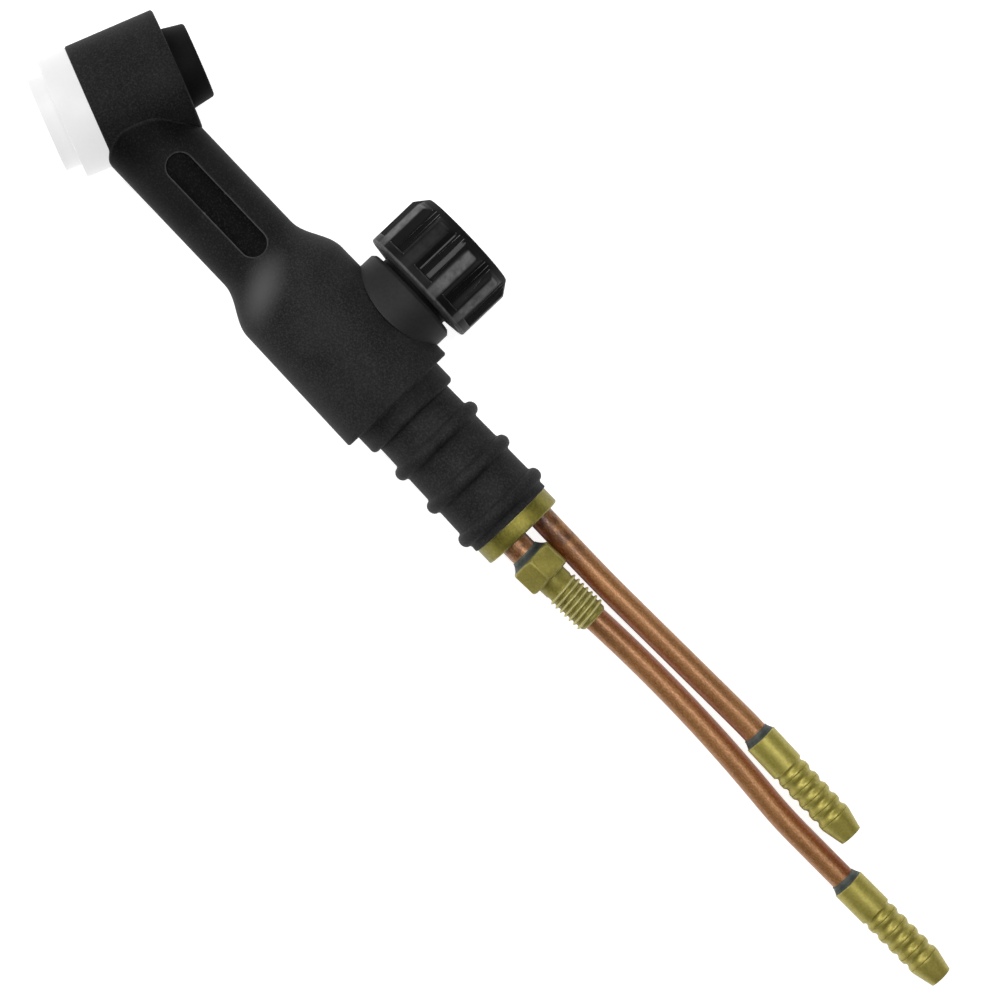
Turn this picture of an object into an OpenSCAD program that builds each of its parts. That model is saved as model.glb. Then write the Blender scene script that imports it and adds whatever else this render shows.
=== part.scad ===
// TIG welding torch head: water-cooled, flexible neck, gas valve in the body.
// X runs along the handle axis towards the tubes, Y towards the valve knob, and
// the torch lies on its side with Z up. The origin is where the axis of the
// head crosses the axis of the handle.

/* [Head] */
// Angle between the head and the handle axis
head_angle = 70; // [60:1:80]
// Outer diameter of the rubber head
head_d = 21.4; // [20.6:0.1:24]
// Head length in front of the axis crossing
head_front = 3.6; // [3:0.1:6]
// Head length behind the axis crossing
head_rear = 12.15; // [11:0.05:16]
// Bevel on the rubber edges
rubber_bevel = 0.4; // [0.2:0.05:0.6]

/* [Heat shield] */
// Diameter of the heat shield's disc
shield_d = 21.2; // [18:0.1:22]
// Thickness of the heat shield's disc
shield_len = 5.1; // [3:0.1:8]
// Diameter of the shield's nose, on which the nozzle seats
nose_d = 16.6; // [14.5:0.1:17.8]
// Length of the shield's nose
nose_len = 2.8; // [2.2:0.1:5]
// Depth of the metal body's end inside the nose
body_recess = 2; // [1:0.1:2.2]

/* [Rear collar] */
// Diameter of the rear collar where it leaves the head
collar_base_d = 14.3; // [13.6:0.05:16]
// Diameter of the rear collar's end
collar_end_d = 13.05; // [12.6:0.05:13.6]
// Length of the rear collar
collar_len = 3.95; // [2.5:0.05:6]

/* [Torch body] */
// Bore that takes the collet body
collet_d = 9.52; // [8.5:0.02:10]
// How far the collet bore runs behind the axis crossing
collet_behind = 2.5; // [1:0.1:4]
// Bore that takes the back cap
cap_d = 9; // [8:0.1:10]
// Length of the narrow throat between the two bores
throat_len = 3; // [2:0.1:4]
// Bore of the throat
throat_d = 6.4; // [4:0.1:7]
// Outer diameter of the body inside the heat shield
body_front_d = 12; // [11.4:0.1:12.6]
// Outer diameter of the body inside the water jacket
body_d = 12.8; // [12.4:0.1:13.2]
// Outer diameter of the body inside the rear collar
body_rear_d = 11.2; // [10.8:0.1:11.6]
// Depth of the metal body's end inside the rear collar
body_inset = 0.3; // [0.1:0.1:1]

/* [Water jacket] */
// Outer diameter of the water jacket
jacket_d = 16.6; // [16.2:0.1:17.4]
// Wall of the water jacket
jacket_wall = 0.7; // [0.5:0.05:0.9]
// Rubber left in front of and behind the water jacket
jacket_cover = 1; // [0.6:0.1:1.6]

/* [Neck] */
// Outer diameter of the neck
neck_d = 15.34; // [14.8:0.02:17]
// Length of neck root that belongs to the head, past the head's own surface
neck_root_extra = 0.4; // [0.2:0.1:2]
// Height of the neck's root, a rounded block, where it leaves the head
root_h = 17.1; // [15.6:0.1:17.8]
// Radius on the corners of the neck's root
root_corner_r = 6.2; // [5:0.1:7.2]
// Distance from the axis crossing to where the root starts to fade into the round neck
root_full_len = 6.5; // [5:0.1:9]
// Length of the bending part of the neck
neck_len = 20.9; // [16:0.1:30]
// Distance between the neck's two bending centres
bend_spacing = 11; // [8:0.5:13]
// Outer diameter of the thin gas tube in the neck
neck_gas_d = 3.2; // [2.6:0.1:3.4]
// Outer diameter of the two water tubes in the neck
neck_water_d = 4; // [3.6:0.1:4.2]
// Height of the gas tube over the handle axis, inside the neck
neck_gas_y = 1.2; // [1:0.1:1.4]
// Depth of the two water tubes under the handle axis, inside the neck
neck_pair_drop = 2.2; // [2:0.1:2.4]
// Sideways place of the two water tubes inside the neck
neck_pair_side = 2.9; // [2.7:0.1:3.1]
// Wall of the copper tubes
tube_wall = 0.6; // [0.4:0.05:0.7]
// Length of the marking panel between the centres of its round ends
panel_len = 17.3; // [10:0.1:20]
// Width of the marking panel
panel_w = 4.7; // [3:0.1:6]
// Depth of the marking panel below the rubber
panel_depth = 0.35; // [0.15:0.05:0.5]
// Distance of the marking panel behind the middle of the neck
panel_shift = 0.4; // [0:0.1:0.8]
// Height of the marking panel's middle over the handle axis
panel_y = 0.3; // [0:0.1:0.6]

/* [Valve housing] */
// Length of the shoulder between neck and valve housing
shoulder_len = 9; // [6:0.1:14]
// Diameter of the valve housing at its front
housing_front_d = 21.7; // [20.5:0.1:24]
// Diameter of the valve housing at its rear
housing_rear_d = 22.3; // [20.5:0.1:24]
// Length of the valve housing behind the shoulder
housing_len = 24.8; // [22:0.1:32]
// Distance of the valve axis behind the shoulder
valve_setback = 13.5; // [12.8:0.1:15]
// Diameter of the boss under the knob
boss_d = 18.3; // [16:0.1:20]
// Height of the boss's foot over the handle axis
boss_foot = 7.2; // [6.4:0.1:8]
// Height of the boss above the housing
boss_rise = 3; // [1.5:0.1:4]
// Rubber left between the valve block and the boss
boss_seat = 0.4; // [0.3:0.1:0.8]
// Bevel on the boss
boss_bevel = 0.6; // [0.3:0.1:1.2]

/* [Valve] */
// Diameter of the valve block
block_d = 16; // [15.4:0.1:17]
// Length of the valve block
block_len = 21.8; // [20:0.1:24]
// Diameter of the block's bonnet, which holds the stem
bonnet_d = 10; // [9:0.1:11]
// Height of the bonnet's top above the handle axis
bonnet_top = 12.8; // [12:0.1:13.2]
// Thread diameter of the valve stem
stem_d = 5; // [4.6:0.1:5.2]
// Depth of the tube sockets in the valve block
socket_depth = 4; // [3:0.1:5]
// Bore of the gas ways in the block
gas_way_d = 2; // [1.6:0.1:2.2]
// Bore of the water ways in the block
water_way_d = 2.6; // [2:0.1:2.8]
// Height of the valve seat's lower face above the handle axis
seat_y = 2.6; // [2.5:0.05:2.8]
// Thickness of the valve seat
seat_t = 1; // [0.8:0.05:1.1]
// Bore of the valve seat
seat_bore_d = 2; // [1.6:0.1:2.2]
// How far the stem is lifted off the seat
stem_open = 0.42; // [0.4:0.02:1.2]
// Diameter of the gland nut
gland_d = 14.2; // [12:0.1:15]
// Height of the gland nut above the boss
gland_h = 3; // [2:0.1:3]
// Diameter of the gland nut's threaded spigot
gland_thread_d = 7.2; // [6.8:0.1:7.6]
// Length of the gland nut's threaded spigot inside the bonnet
gland_thread_len = 3; // [2.4:0.1:3.4]
// Thickness of the stem packing
packing_t = 0.8; // [0.5:0.1:1.2]

/* [Knob] */
// Diameter of the knob
knob_d = 21.8; // [20:0.1:26]
// Height of the knob
knob_h = 12.1; // [11:0.1:15]
// Gap between boss and knob
knob_gap = 0.8; // [0.7:0.05:2.2]
// Number of flutes
knob_flutes = 10; // [8:1:12]
// Depth of a flute
flute_depth = 1; // [0.8:0.1:1.8]
// Width of a flute's floor
flute_floor = 1.6; // [1.2:0.1:3]
// Width of a flute at the knob's outside
flute_mouth = 4.2; // [3.4:0.1:4.8]
// Height of the knob's bottom flange
knob_flange = 2.2; // [1.4:0.1:3]
// Rise of the flange's underside towards its rim
flange_rise = 0.4; // [0.1:0.1:0.8]
// Height of the knob's top bevel
knob_bevel_h = 2.3; // [1:0.1:3]
// Width of the knob's top bevel
knob_bevel_w = 1.7; // [1:0.1:3]
// Depth of the hollow under the knob
knob_hollow = 3.2; // [3:0.1:4]
// Diameter of the brass insert in the knob
insert_d = 8; // [7:0.1:10]
// Length of the brass insert in the knob
insert_len = 6; // [4:0.1:6.5]

/* [Handle spigot] */
// Bore of the handle, which the step and the ribs fill
handle_bore_d = 18; // [17:0.1:19]
// Length of the step
step_len = 3.9; // [2:0.1:6]
// Diameter of the spigot at its front
spigot_front_d = 15.3; // [15:0.1:16]
// Diameter of the spigot at its rear
spigot_rear_d = 15.8; // [15.2:0.1:16.2]
// Length of the spigot
spigot_len = 23.4; // [20:0.1:30]
// Number of ring ribs
rib_count = 3; // [1:1:3]
// Distance from the step to the first rib
rib_first = 5.45; // [2:0.05:6]
// Distance between ribs
rib_pitch = 7.65; // [5:0.05:8]
// Radius of the step's rear edge
step_round = 0.8; // [0.3:0.1:1.2]
// Width of a rib at its foot
rib_w = 2.6; // [1.6:0.1:3.2]
// Width of the flat on a rib's crest
rib_flat = 0.5; // [0.3:0.1:0.9]
// Diameter of the brass end ring
ring_d = 15.15; // [14.9:0.05:16]
// Length of the brass end ring
ring_len = 3.1; // [2:0.1:5]
// Wall of the brass end ring
ring_wall = 0.75; // [0.5:0.05:0.8]
// Depth of the potting below the end ring's rim
potting_recess = 0.8; // [0.4:0.1:1.6]

/* [Tubes] */
// Outer diameter of the gas tube and the water tube
tube_d = 4.33; // [4:0.01:4.6]
// Outer diameter of the power stub
stub_d = 5; // [4.4:0.1:5.2]
// Length of the gas tube between the end ring and its barb
gas_tube_len = 52.3; // [46:0.1:70]
// Length of the water tube between the end ring and its barb
water_tube_len = 80.8; // [76:0.1:110]
// Length of the power stub between the end ring and its connector
power_stub_len = 3.7; // [3.5:0.1:8]
// Height of the gas tube over the handle axis
gas_y = 3.9; // [3.8:0.05:4.2]
// Depth of the water tube and the power stub under the handle axis
water_drop = 2.4; // [2.2:0.05:2.5]
// Sideways place of the water tube
water_side = 3.5; // [3.4:0.05:3.6]
// Sideways place of the power stub
power_side = 3.3; // [3.2:0.05:3.4]
// Straight run of a tube behind the end ring
tube_lead = 0.3; // [0.1:0.1:0.5]
// Further straight run of the gas tube in front of its bow
gas_lead = 10; // [2:0.5:14]
// Run over which the water tube swings sideways, past the connector
swing_run = 6; // [2:0.5:10]
// Bend radius of the tubes next to the end ring
set_r = 45; // [35:1:50]
// Bend radius of the long bows
bow_r = 290; // [200:5:320]
// Bend radius next to the barbs
barb_bend_r = 90; // [50:5:120]
// Angle by which the gas tube rises in its long bow
gas_rise_angle = 1.9; // [1:0.1:2.2]
// Angle by which the gas tube falls back in front of its barb
gas_fall_angle = 2.5; // [1:0.1:3]
// Angle by which the water tube rises behind the end ring
water_rise_angle = 4.4; // [3.5:0.1:5]
// Angle of the water tube's swing sideways, past the connector
water_swing_angle = 5; // [4.5:0.1:6]
// Angle by which the water tube falls in its long bow
water_bow_angle = 8.5; // [7:0.1:9]
// Angle by which the water tube rises again in front of its barb
water_return_angle = 5.4; // [4:0.1:6]
// Angle by which the power stub rises
power_rise_angle = 3; // [2:0.1:3.4]

/* [Hose barbs] */
// Diameter of the plain collar of a barb
barb_d = 5.9; // [5.6:0.1:6.6]
// Length of the plain collar of a barb
barb_collar = 6.45; // [6:0.05:9]
// Number of small ridges
barb_ridges = 4; // [2:1:6]
// Distance between ridges
barb_pitch = 2.44; // [2.1:0.01:3]
// Diameter in the valleys between the ridges
valley_d = 5; // [4.8:0.1:5.4]
// Length of the pointed end of a barb
tip_len = 6.1; // [4:0.1:7]
// Diameter of the pointed end
tip_d = 4.1; // [3.6:0.1:4.6]
// Bore of a barb
barb_bore_d = 2.6; // [2:0.1:3]
// Depth of the tube in a barb
barb_socket = 5; // [3:0.1:6]
// Length of a solder fillet
solder_len = 1.5; // [0.8:0.1:2.5]

/* [Power connector] */
// Hexagon size across its flats
hex_af = 7.6; // [7:0.1:7.7]
// Length of the hexagon
hex_len = 4.8; // [3.8:0.1:6]
// Bevel on the hexagon's corners
hex_bevel = 0.5; // [0.2:0.1:0.6]
// Depth of the power stub in the connector
hex_socket = 3.7; // [2:0.1:3.7]
// Turn of the hexagon about its own axis
hex_angle = 8; // [0:1:15]
// Diameter of the plain shank
shank_d = 5.6; // [5.2:0.1:5.8]
// Length of the plain shank
shank_len = 2; // [1:0.1:4]
// Thread diameter
thread_d = 6.3; // [6:0.05:6.6]
// Thread root diameter
root_d = 5.3; // [5:0.05:5.5]
// Thread pitch
thread_pitch = 1; // [0.8:0.05:1.25]
// Number of thread crests
thread_turns = 8; // [5:1:10]

/* [Fits] */
// Braze gap around the neck tubes where they enter other pieces
braze_gap = 0.05; // [0.02:0.01:0.1]
// Running gap around the stem
stem_gap = 0.05; // [0.02:0.01:0.1]
// Gap between the heat shield and the body
shield_gap = 0.05; // [0.02:0.01:0.1]
// Gap between the knob's hollow and the gland nut
knob_clear = 0.4; // [0.3:0.05:0.8]

/* [Hidden] */
$fn = 64;
// Small overshoot that keeps cuts clean
eps = 0.02;
// Small bevel on turned and moulded edges
edge_bevel = 0.2;
// Share of a pitch by which the knob's flutes are turned
flute_phase = 0.36;
// Sides of a bent tube
tube_sides = 24;
// Angle between two points of a rounded edge
round_step_angle = 15;
// How far a rib's foot is sunk into the spigot
rib_sink = 0.5;
// Width of the flat rim at either end of a solder fillet
solder_rim = 0.15;
// Straight tube left bare in front of a solder fillet
solder_margin = 0.2;

// Places along the handle axis
neck_start = (head_d / 2 + neck_d / 2 * cos(head_angle)) / sin(head_angle) + neck_root_extra;
neck_end = neck_start + neck_len;
housing_start = neck_end + shoulder_len;
housing_end = housing_start + housing_len;
step_end = housing_end + step_len;
spigot_end = step_end + spigot_len;
ring_end = spigot_end + ring_len;
valve_x = housing_start + valve_setback;
block_start = housing_end - block_len;
tube_start = housing_end - socket_depth;
neck_mid = neck_start + neck_len / 2;

// Places along the head axis
shield_end = -head_front - shield_len;
nose_end = shield_end - nose_len;
body_front = nose_end + body_recess;
collar_end = head_rear + collar_len;
body_rear = collar_end - body_inset;
throat_end = collet_behind + throat_len;
jacket_front = -head_front + jacket_cover;
jacket_rear = head_rear - jacket_cover;
body_wall_mid = (body_d + collet_d) / 4;
gas_inlet_x = (body_wall_mid - neck_gas_d / 2 * cos(head_angle)) / sin(head_angle);

// Places along the valve axis
housing_r = (housing_front_d + (housing_rear_d - housing_front_d) * valve_setback / housing_len) / 2;
boss_top = housing_r + boss_rise;
gland_top = boss_top + gland_h;
gland_bottom = bonnet_top - gland_thread_len;
packing_bottom = gland_bottom - packing_t;
knob_bottom = boss_top + knob_gap;
knob_top = knob_bottom + knob_h;
hollow_top = knob_bottom + knob_hollow;
stem_r = stem_d / 2;
seat_top = seat_y + seat_t;

// The stem's needle: a cone that meets the seat's bore when the valve is shut
needle_angle = 30;
needle_neck_len = 0.9;
needle_tip_r = 0.3;
needle_r = 1.7;
needle_y = seat_top + stem_open;
needle_bottom = needle_y - (seat_bore_d / 2 - needle_tip_r) / tan(needle_angle);
needle_top = needle_y + (needle_r - seat_bore_d / 2) / tan(needle_angle);

// The stem above its needle: a land, the seal's groove and the knob's spline
land_h = 0.8;
groove_h = 1.2;
groove_r = 1.8;
spline_r = 2.2;
land_y = needle_top + needle_neck_len;
groove_y = land_y + land_h;

// Outline of the shoulder: half a cosine wave from the neck to the housing
shoulder_steps = 12;
shoulder_points = [
    for (i = [0 : shoulder_steps]) [
        neck_d / 2 + (housing_front_d - neck_d) / 4 * (1 - cos(180 * i / shoulder_steps)),
        neck_end + shoulder_len * i / shoulder_steps
    ]
];

// Tube places in the neck: [y, z, diameter]
neck_gas = [neck_gas_y, 0, neck_gas_d];
neck_water = [-neck_pair_drop, -neck_pair_side, neck_water_d];
neck_power = [-neck_pair_drop, neck_pair_side, neck_water_d];

// Tube places at the rear: [y, z, diameter]
rear_gas = [gas_y, 0, tube_d];
rear_water = [-water_drop, -water_side, tube_d];
rear_power = [-water_drop, power_side, stub_d];

// Drilled ways through the block: [y, z, diameter]
gas_in_way = [seat_top + gas_way_d / 2 + edge_bevel, 0, gas_way_d];
gas_out_way = [neck_gas[0], 0, gas_way_d];
water_way = [(neck_water[0] + rear_water[0]) / 2, (neck_water[1] + rear_water[1]) / 2, water_way_d];
power_way = [(neck_power[0] + rear_power[0]) / 2, (neck_power[1] + rear_power[1]) / 2, water_way_d];

// Tube routes. A step is [straight length, turn, bend radius, side it turns to]
UP = 0;
DOWN = 180;
BACK = -90;
FRONT = 90;
tail = ring_end - tube_start + tube_lead;
function arc_len(turn, r) = turn * PI / 180 * r;
gas_bends = arc_len(gas_rise_angle, bow_r) + arc_len(gas_fall_angle, barb_bend_r);
gas_run = gas_tube_len - tube_lead - gas_lead - gas_bends - solder_len;
gas_route = [
    [tail + gas_lead, gas_rise_angle, bow_r, UP],
    [gas_run, gas_fall_angle, barb_bend_r, DOWN],
    [solder_len, 0, 1, UP]
];
water_sets = arc_len(water_rise_angle, set_r) + 2 * arc_len(water_swing_angle, set_r);
water_bends = water_sets + arc_len(water_bow_angle, bow_r) + arc_len(water_return_angle, barb_bend_r);
water_run = water_tube_len - tube_lead - swing_run - water_bends;
water_route = [
    [tail, water_rise_angle, set_r, UP],
    [0, water_swing_angle, set_r, BACK],
    [swing_run, water_swing_angle, set_r, FRONT],
    [0, water_bow_angle, bow_r, DOWN],
    [0, water_return_angle, barb_bend_r, UP],
    [water_run, 0, 1, UP]
];
power_run = power_stub_len - tube_lead - arc_len(power_rise_angle, set_r);
power_route = [[tail, power_rise_angle, set_r, UP], [power_run, 0, 1, UP]];

// ---- Shared shapes ----

// Turns a shape drawn along Z so that it lies along X
module along_x() {
    rotate([0, 90, 0]) children();
}

// Turns a shape drawn along Z so that it lies along the head axis, rear end up
module along_head() {
    rotate([0, 0, head_angle]) rotate([0, 90, 0]) children();
}

// Turns a shape drawn along Z so that it stands on the valve axis
module along_valve() {
    translate([valve_x, 0, 0]) rotate([-90, 0, 0]) children();
}

// A straight rod along X from x0 to x1 at a place [y, z, diameter]
module rod(place, x0, x1, extra = 0) {
    translate([x0, place[0], place[1]]) along_x() cylinder(h = x1 - x0, d = place[2] + 2 * extra);
}

// The three neck tubes as solid rods, for the holes they run in
module neck_rods(x0, x1, extra = 0) {
    for (place = [neck_gas, neck_water, neck_power]) rod(place, x0, x1, extra);
}

// The three rear tubes as solid rods
module rear_rods(x0, x1) {
    for (place = [rear_gas, rear_water, rear_power]) rod(place, x0, x1);
}

// A round plate with bevelled edges, along Z
module bevelled(d, z0, z1, low, high) {
    r = d / 2;
    rotate_extrude() polygon([
        [0, z0], [r - low, z0], [r, z0 + low], [r, z1 - high], [r - high, z1], [0, z1]
    ]);
}

// Cross-section of a tube
module tube_section(d, wall) {
    difference() {
        circle(d = d);
        circle(d = d - 2 * wall);
    }
}

// Frames along a route. A frame is [place, way ahead, Y side, Z side]
function moved(f, length) = [f[0] + length * f[1], f[1], f[2], f[3]];
function rolled(f, a) = [f[0], f[1], cos(a) * f[2] + sin(a) * f[3], cos(a) * f[3] - sin(a) * f[2]];
function turned(f, a, r) = [
    f[0] + r * sin(a) * f[1] + r * (1 - cos(a)) * f[2],
    cos(a) * f[1] + sin(a) * f[2],
    cos(a) * f[2] - sin(a) * f[1],
    f[3]
];
function arc_frames(f, step, pieces) = [
    for (k = [1 : pieces]) rolled(turned(f, step[1] * k / pieces, step[2]), -step[3])
];
function route_frames(route, f, i = 0) = i == len(route) ? [] :
    let (
        bend_start = rolled(moved(f, route[i][0]), route[i][3]),
        arc = route[i][1] > 0 ? arc_frames(bend_start, route[i], ceil(route[i][1] / 2)) : [],
        here = concat([rolled(bend_start, -route[i][3])], arc)
    )
    concat(here, route_frames(route, here[len(here) - 1], i + 1));

// Moves its children to the end of a route
module at_route_end(route, i = 0) {
    if (i < len(route)) {
        step = route[i];
        translate([step[0], 0, 0]) rotate([step[3], 0, 0])
            translate([0, step[2], 0]) rotate([0, 0, step[1]]) translate([0, -step[2], 0])
                rotate([-step[3], 0, 0]) at_route_end(route, i + 1) children();
    } else {
        children();
    }
}

// A tube that follows a route, and runs straight on for a last length
module routed_tube(route, d, wall, last) {
    first = [[0, 0, 0], [1, 0, 0], [0, 1, 0], [0, 0, 1]];
    bends = concat([first], route_frames(route, first));
    frames = concat(bends, [moved(bends[len(bends) - 1], last)]);
    rings = len(frames);
    function ring(f, r) = [
        for (k = [0 : tube_sides - 1])
            f[0] + r * cos(360 * k / tube_sides) * f[2] + r * sin(360 * k / tube_sides) * f[3]
    ];
    function at(i, k) = i * tube_sides + k % tube_sides;
    polyhedron(
        points = concat(
            [for (f = frames) each ring(f, d / 2)],
            [for (f = frames) each ring(f, d / 2 - wall)]
        ),
        faces = concat(
            [for (i = [0 : rings - 2], k = [0 : tube_sides - 1]) each [
                [at(i, k), at(i + 1, k), at(i + 1, k + 1)],
                [at(i, k), at(i + 1, k + 1), at(i, k + 1)],
                [at(rings + i, k), at(rings + i + 1, k + 1), at(rings + i + 1, k)],
                [at(rings + i, k), at(rings + i, k + 1), at(rings + i + 1, k + 1)]
            ]],
            [for (k = [0 : tube_sides - 1]) each [
                [at(0, k), at(0, k + 1), at(rings, k + 1)],
                [at(0, k), at(rings, k + 1), at(rings, k)],
                [at(rings - 1, k), at(2 * rings - 1, k + 1), at(rings - 1, k + 1)],
                [at(rings - 1, k), at(2 * rings - 1, k), at(2 * rings - 1, k + 1)]
            ]]
        )
    );
}

// Sunk marking panel on the upper side of the neck, with a floor that follows its round
module panel_cut() {
    difference() {
        translate([neck_mid + panel_shift, panel_y, 0]) linear_extrude(neck_d) stadium(panel_w);
        rod([0, 0, neck_d - 2 * panel_depth], 0, housing_end);
    }
}

// A bar with round ends, panel_len between the centres of its ends
module stadium(w) {
    square([panel_len, w], center = true);
    for (side = [-1, 1]) translate([side * panel_len / 2, 0]) circle(d = w);
}

// ---- Head ----

// Metal body with the collet bore in front and the back cap bore behind
module torch_body() {
    color("peru") difference() {
        along_head() {
            translate([0, 0, body_front]) cylinder(h = -head_front - body_front, d = body_front_d);
            translate([0, 0, -head_front]) cylinder(h = head_front + head_rear, d = body_d);
            translate([0, 0, head_rear]) cylinder(h = body_rear - head_rear, d = body_rear_d);
        }
        along_head() {
            translate([0, 0, body_front - eps])
                cylinder(h = collet_behind - body_front + eps, d = collet_d);
            translate([0, 0, collet_behind - eps]) cylinder(h = throat_len + 2 * eps, d = throat_d);
            translate([0, 0, throat_end]) cylinder(h = body_rear - throat_end + eps, d = cap_d);
        }
        rod(neck_gas, gas_inlet_x, head_d, braze_gap);
        rod([neck_gas[0], neck_gas[1], neck_gas_d - 2 * tube_wall], 0, head_d);
    }
}

// Copper shell that holds the cooling water round the body
module water_jacket() {
    difference() {
        color("chocolate") along_head() difference() {
            translate([0, 0, jacket_front]) cylinder(h = jacket_rear - jacket_front, d = jacket_d);
            translate([0, 0, jacket_front - eps])
                cylinder(h = jacket_rear - jacket_front + 2 * eps, d = body_d);
            translate([0, 0, jacket_front + jacket_wall])
                cylinder(h = jacket_rear - jacket_front - 2 * jacket_wall, d = jacket_d - 2 * jacket_wall);
        }
        neck_rods(0, head_d, braze_gap);
    }
}

// Root of the neck: a rounded block at the head that fades into the round neck
module neck_root() {
    side = neck_d / 2 - root_corner_r;
    rise = root_h / 2 - root_corner_r;
    hull() {
        for (y = [-side, side], z = [-rise, rise]) rod([y, z, 2 * root_corner_r], 0, root_full_len);
        rod([0, 0, neck_d], neck_start - eps, neck_start);
    }
}

// Rubber moulding over the head, with the root of the neck
module head_shell() {
    color([0.13, 0.13, 0.13]) difference() {
        union() {
            along_head() bevelled(head_d, -head_front, head_rear, 0, rubber_bevel);
            neck_root();
        }
        along_head() {
            translate([0, 0, -head_front - eps]) cylinder(h = head_front + head_rear + 2 * eps, d = body_d);
            translate([0, 0, jacket_front]) cylinder(h = jacket_rear - jacket_front, d = jacket_d);
            translate([0, 0, -head_front - 2 * neck_d]) cylinder(h = 2 * neck_d, d = 4 * head_d);
        }
        neck_rods(0, neck_start + eps, braze_gap);
        panel_cut();
    }
}

// Stepped white insulator at the front, which the nozzle seats on
module heat_shield() {
    color("white") along_head() difference() {
        union() {
            bevelled(shield_d, shield_end, -head_front, edge_bevel, 0);
            bevelled(nose_d, nose_end, shield_end + eps, edge_bevel, 0);
        }
        translate([0, 0, nose_end - eps])
            cylinder(h = shield_len + nose_len + 2 * eps, d = body_front_d + 2 * shield_gap);
    }
}

// Tapered insulating collar round the back cap bore
module rear_collar() {
    color([0.1, 0.1, 0.1]) along_head() difference() {
        rotate_extrude() polygon([
            [0, head_rear],
            [collar_base_d / 2, head_rear],
            [collar_end_d / 2, collar_end - rubber_bevel],
            [collar_end_d / 2 - rubber_bevel, collar_end],
            [0, collar_end]
        ]);
        translate([0, 0, head_rear - eps]) cylinder(h = collar_len + 2 * eps, d = body_rear_d);
    }
}

// ---- Neck ----

// Rubber sleeve that bends, moulded round the three neck tubes
module neck_sleeve() {
    color([0.15, 0.15, 0.15]) difference() {
        rod([0, 0, neck_d], neck_start, neck_end);
        neck_rods(neck_start - eps, neck_end + eps);
        panel_cut();
    }
}

// A neck tube between the head and the valve block
module neck_tube(place, x0) {
    translate([x0, place[0], place[1]]) along_x()
        linear_extrude(block_start + socket_depth - x0) tube_section(place[2], tube_wall);
}

module neck_gas_tube() {
    color("chocolate") neck_tube(neck_gas, gas_inlet_x);
}

module neck_water_tube() {
    color("chocolate") difference() {
        neck_tube(neck_water, 0);
        along_head() cylinder(h = 3 * head_d, d = jacket_d - jacket_wall, center = true);
    }
}

module neck_power_tube() {
    color("chocolate") difference() {
        neck_tube(neck_power, 0);
        along_head() cylinder(h = 3 * head_d, d = jacket_d - jacket_wall, center = true);
    }
}

// ---- Valve housing ----

// Rubber housing moulded over the valve block
module valve_housing() {
    rear_r = housing_rear_d / 2;
    color([0.13, 0.13, 0.13]) difference() {
        along_x() rotate_extrude() polygon(concat(
            [[0, neck_end]],
            shoulder_points,
            [[rear_r, housing_end - rubber_bevel], [rear_r - rubber_bevel, housing_end], [0, housing_end]]
        ));
        rod([0, 0, block_d], block_start, housing_end + eps);
        along_valve() cylinder(h = 2 * boss_top, d = bonnet_d);
        difference() {
            along_valve() translate([0, 0, boss_foot]) cylinder(h = boss_top, d = boss_d);
            block_room();
        }
        neck_rods(neck_end - eps, block_start + eps, braze_gap);
        panel_cut();
    }
}

// Space that the boss leaves free around the valve block
module block_room() {
    rod([0, 0, block_d + 2 * boss_seat], valve_x - boss_d, valve_x + boss_d);
}

// Round boss under the knob
module valve_boss() {
    color([0.22, 0.22, 0.22]) difference() {
        along_valve() difference() {
            bevelled(boss_d, boss_foot, boss_top, 0, boss_bevel);
            translate([0, 0, boss_foot - eps]) cylinder(h = bonnet_top - boss_foot + eps, d = bonnet_d);
            translate([0, 0, bonnet_top - 2 * eps])
                cylinder(h = boss_top - bonnet_top + 3 * eps, d = gland_thread_d);
        }
        block_room();
    }
}

// Brass block with the tube sockets, the gas ways and the valve chamber
module valve_block() {
    color("goldenrod") difference() {
        union() {
            rod([0, 0, block_d], block_start, housing_end);
            along_valve() cylinder(h = bonnet_top, d = bonnet_d);
        }
        along_valve() {
            translate([0, 0, gas_out_way[0]]) cylinder(h = seat_y, d = seat_bore_d);
            translate([0, 0, seat_y]) cylinder(h = bonnet_top, d = stem_d + 2 * stem_gap);
            translate([0, 0, packing_bottom]) cylinder(h = bonnet_top, d = gland_thread_d);
        }
        neck_rods(block_start - eps, block_start + socket_depth, braze_gap);
        rear_rods(tube_start, housing_end + eps);
        rod(gas_in_way, valve_x, tube_start + eps);
        rod(gas_out_way, block_start + socket_depth - eps, valve_x);
        rod(water_way, block_start + socket_depth - eps, tube_start + eps);
        rod(power_way, block_start + socket_depth - eps, tube_start + eps);
    }
}

// Soft seat ring at the bottom of the valve chamber
module valve_seat() {
    color("ivory") along_valve() translate([0, 0, seat_y]) difference() {
        cylinder(h = seat_t, d = stem_d + 2 * stem_gap);
        translate([0, 0, -eps]) cylinder(h = seat_t + 2 * eps, d = seat_bore_d);
    }
}

// Packing ring squeezed under the gland nut
module stem_packing() {
    color("ivory") along_valve() translate([0, 0, packing_bottom]) difference() {
        cylinder(h = packing_t, d = gland_thread_d);
        translate([0, 0, -eps]) cylinder(h = packing_t + 2 * eps, d = stem_d + 2 * stem_gap);
    }
}

// Nut that screws into the bonnet and guides the stem
module gland_nut() {
    color([0.18, 0.18, 0.18]) along_valve() difference() {
        union() {
            bevelled(gland_d, boss_top, gland_top, 0, edge_bevel);
            translate([0, 0, gland_bottom]) cylinder(h = boss_top - gland_bottom + eps, d = gland_thread_d);
        }
        translate([0, 0, gland_bottom - eps])
            cylinder(h = gland_top - gland_bottom + 2 * eps, d = stem_d + 2 * stem_gap);
    }
}

// ---- Knob and stem ----

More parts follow.
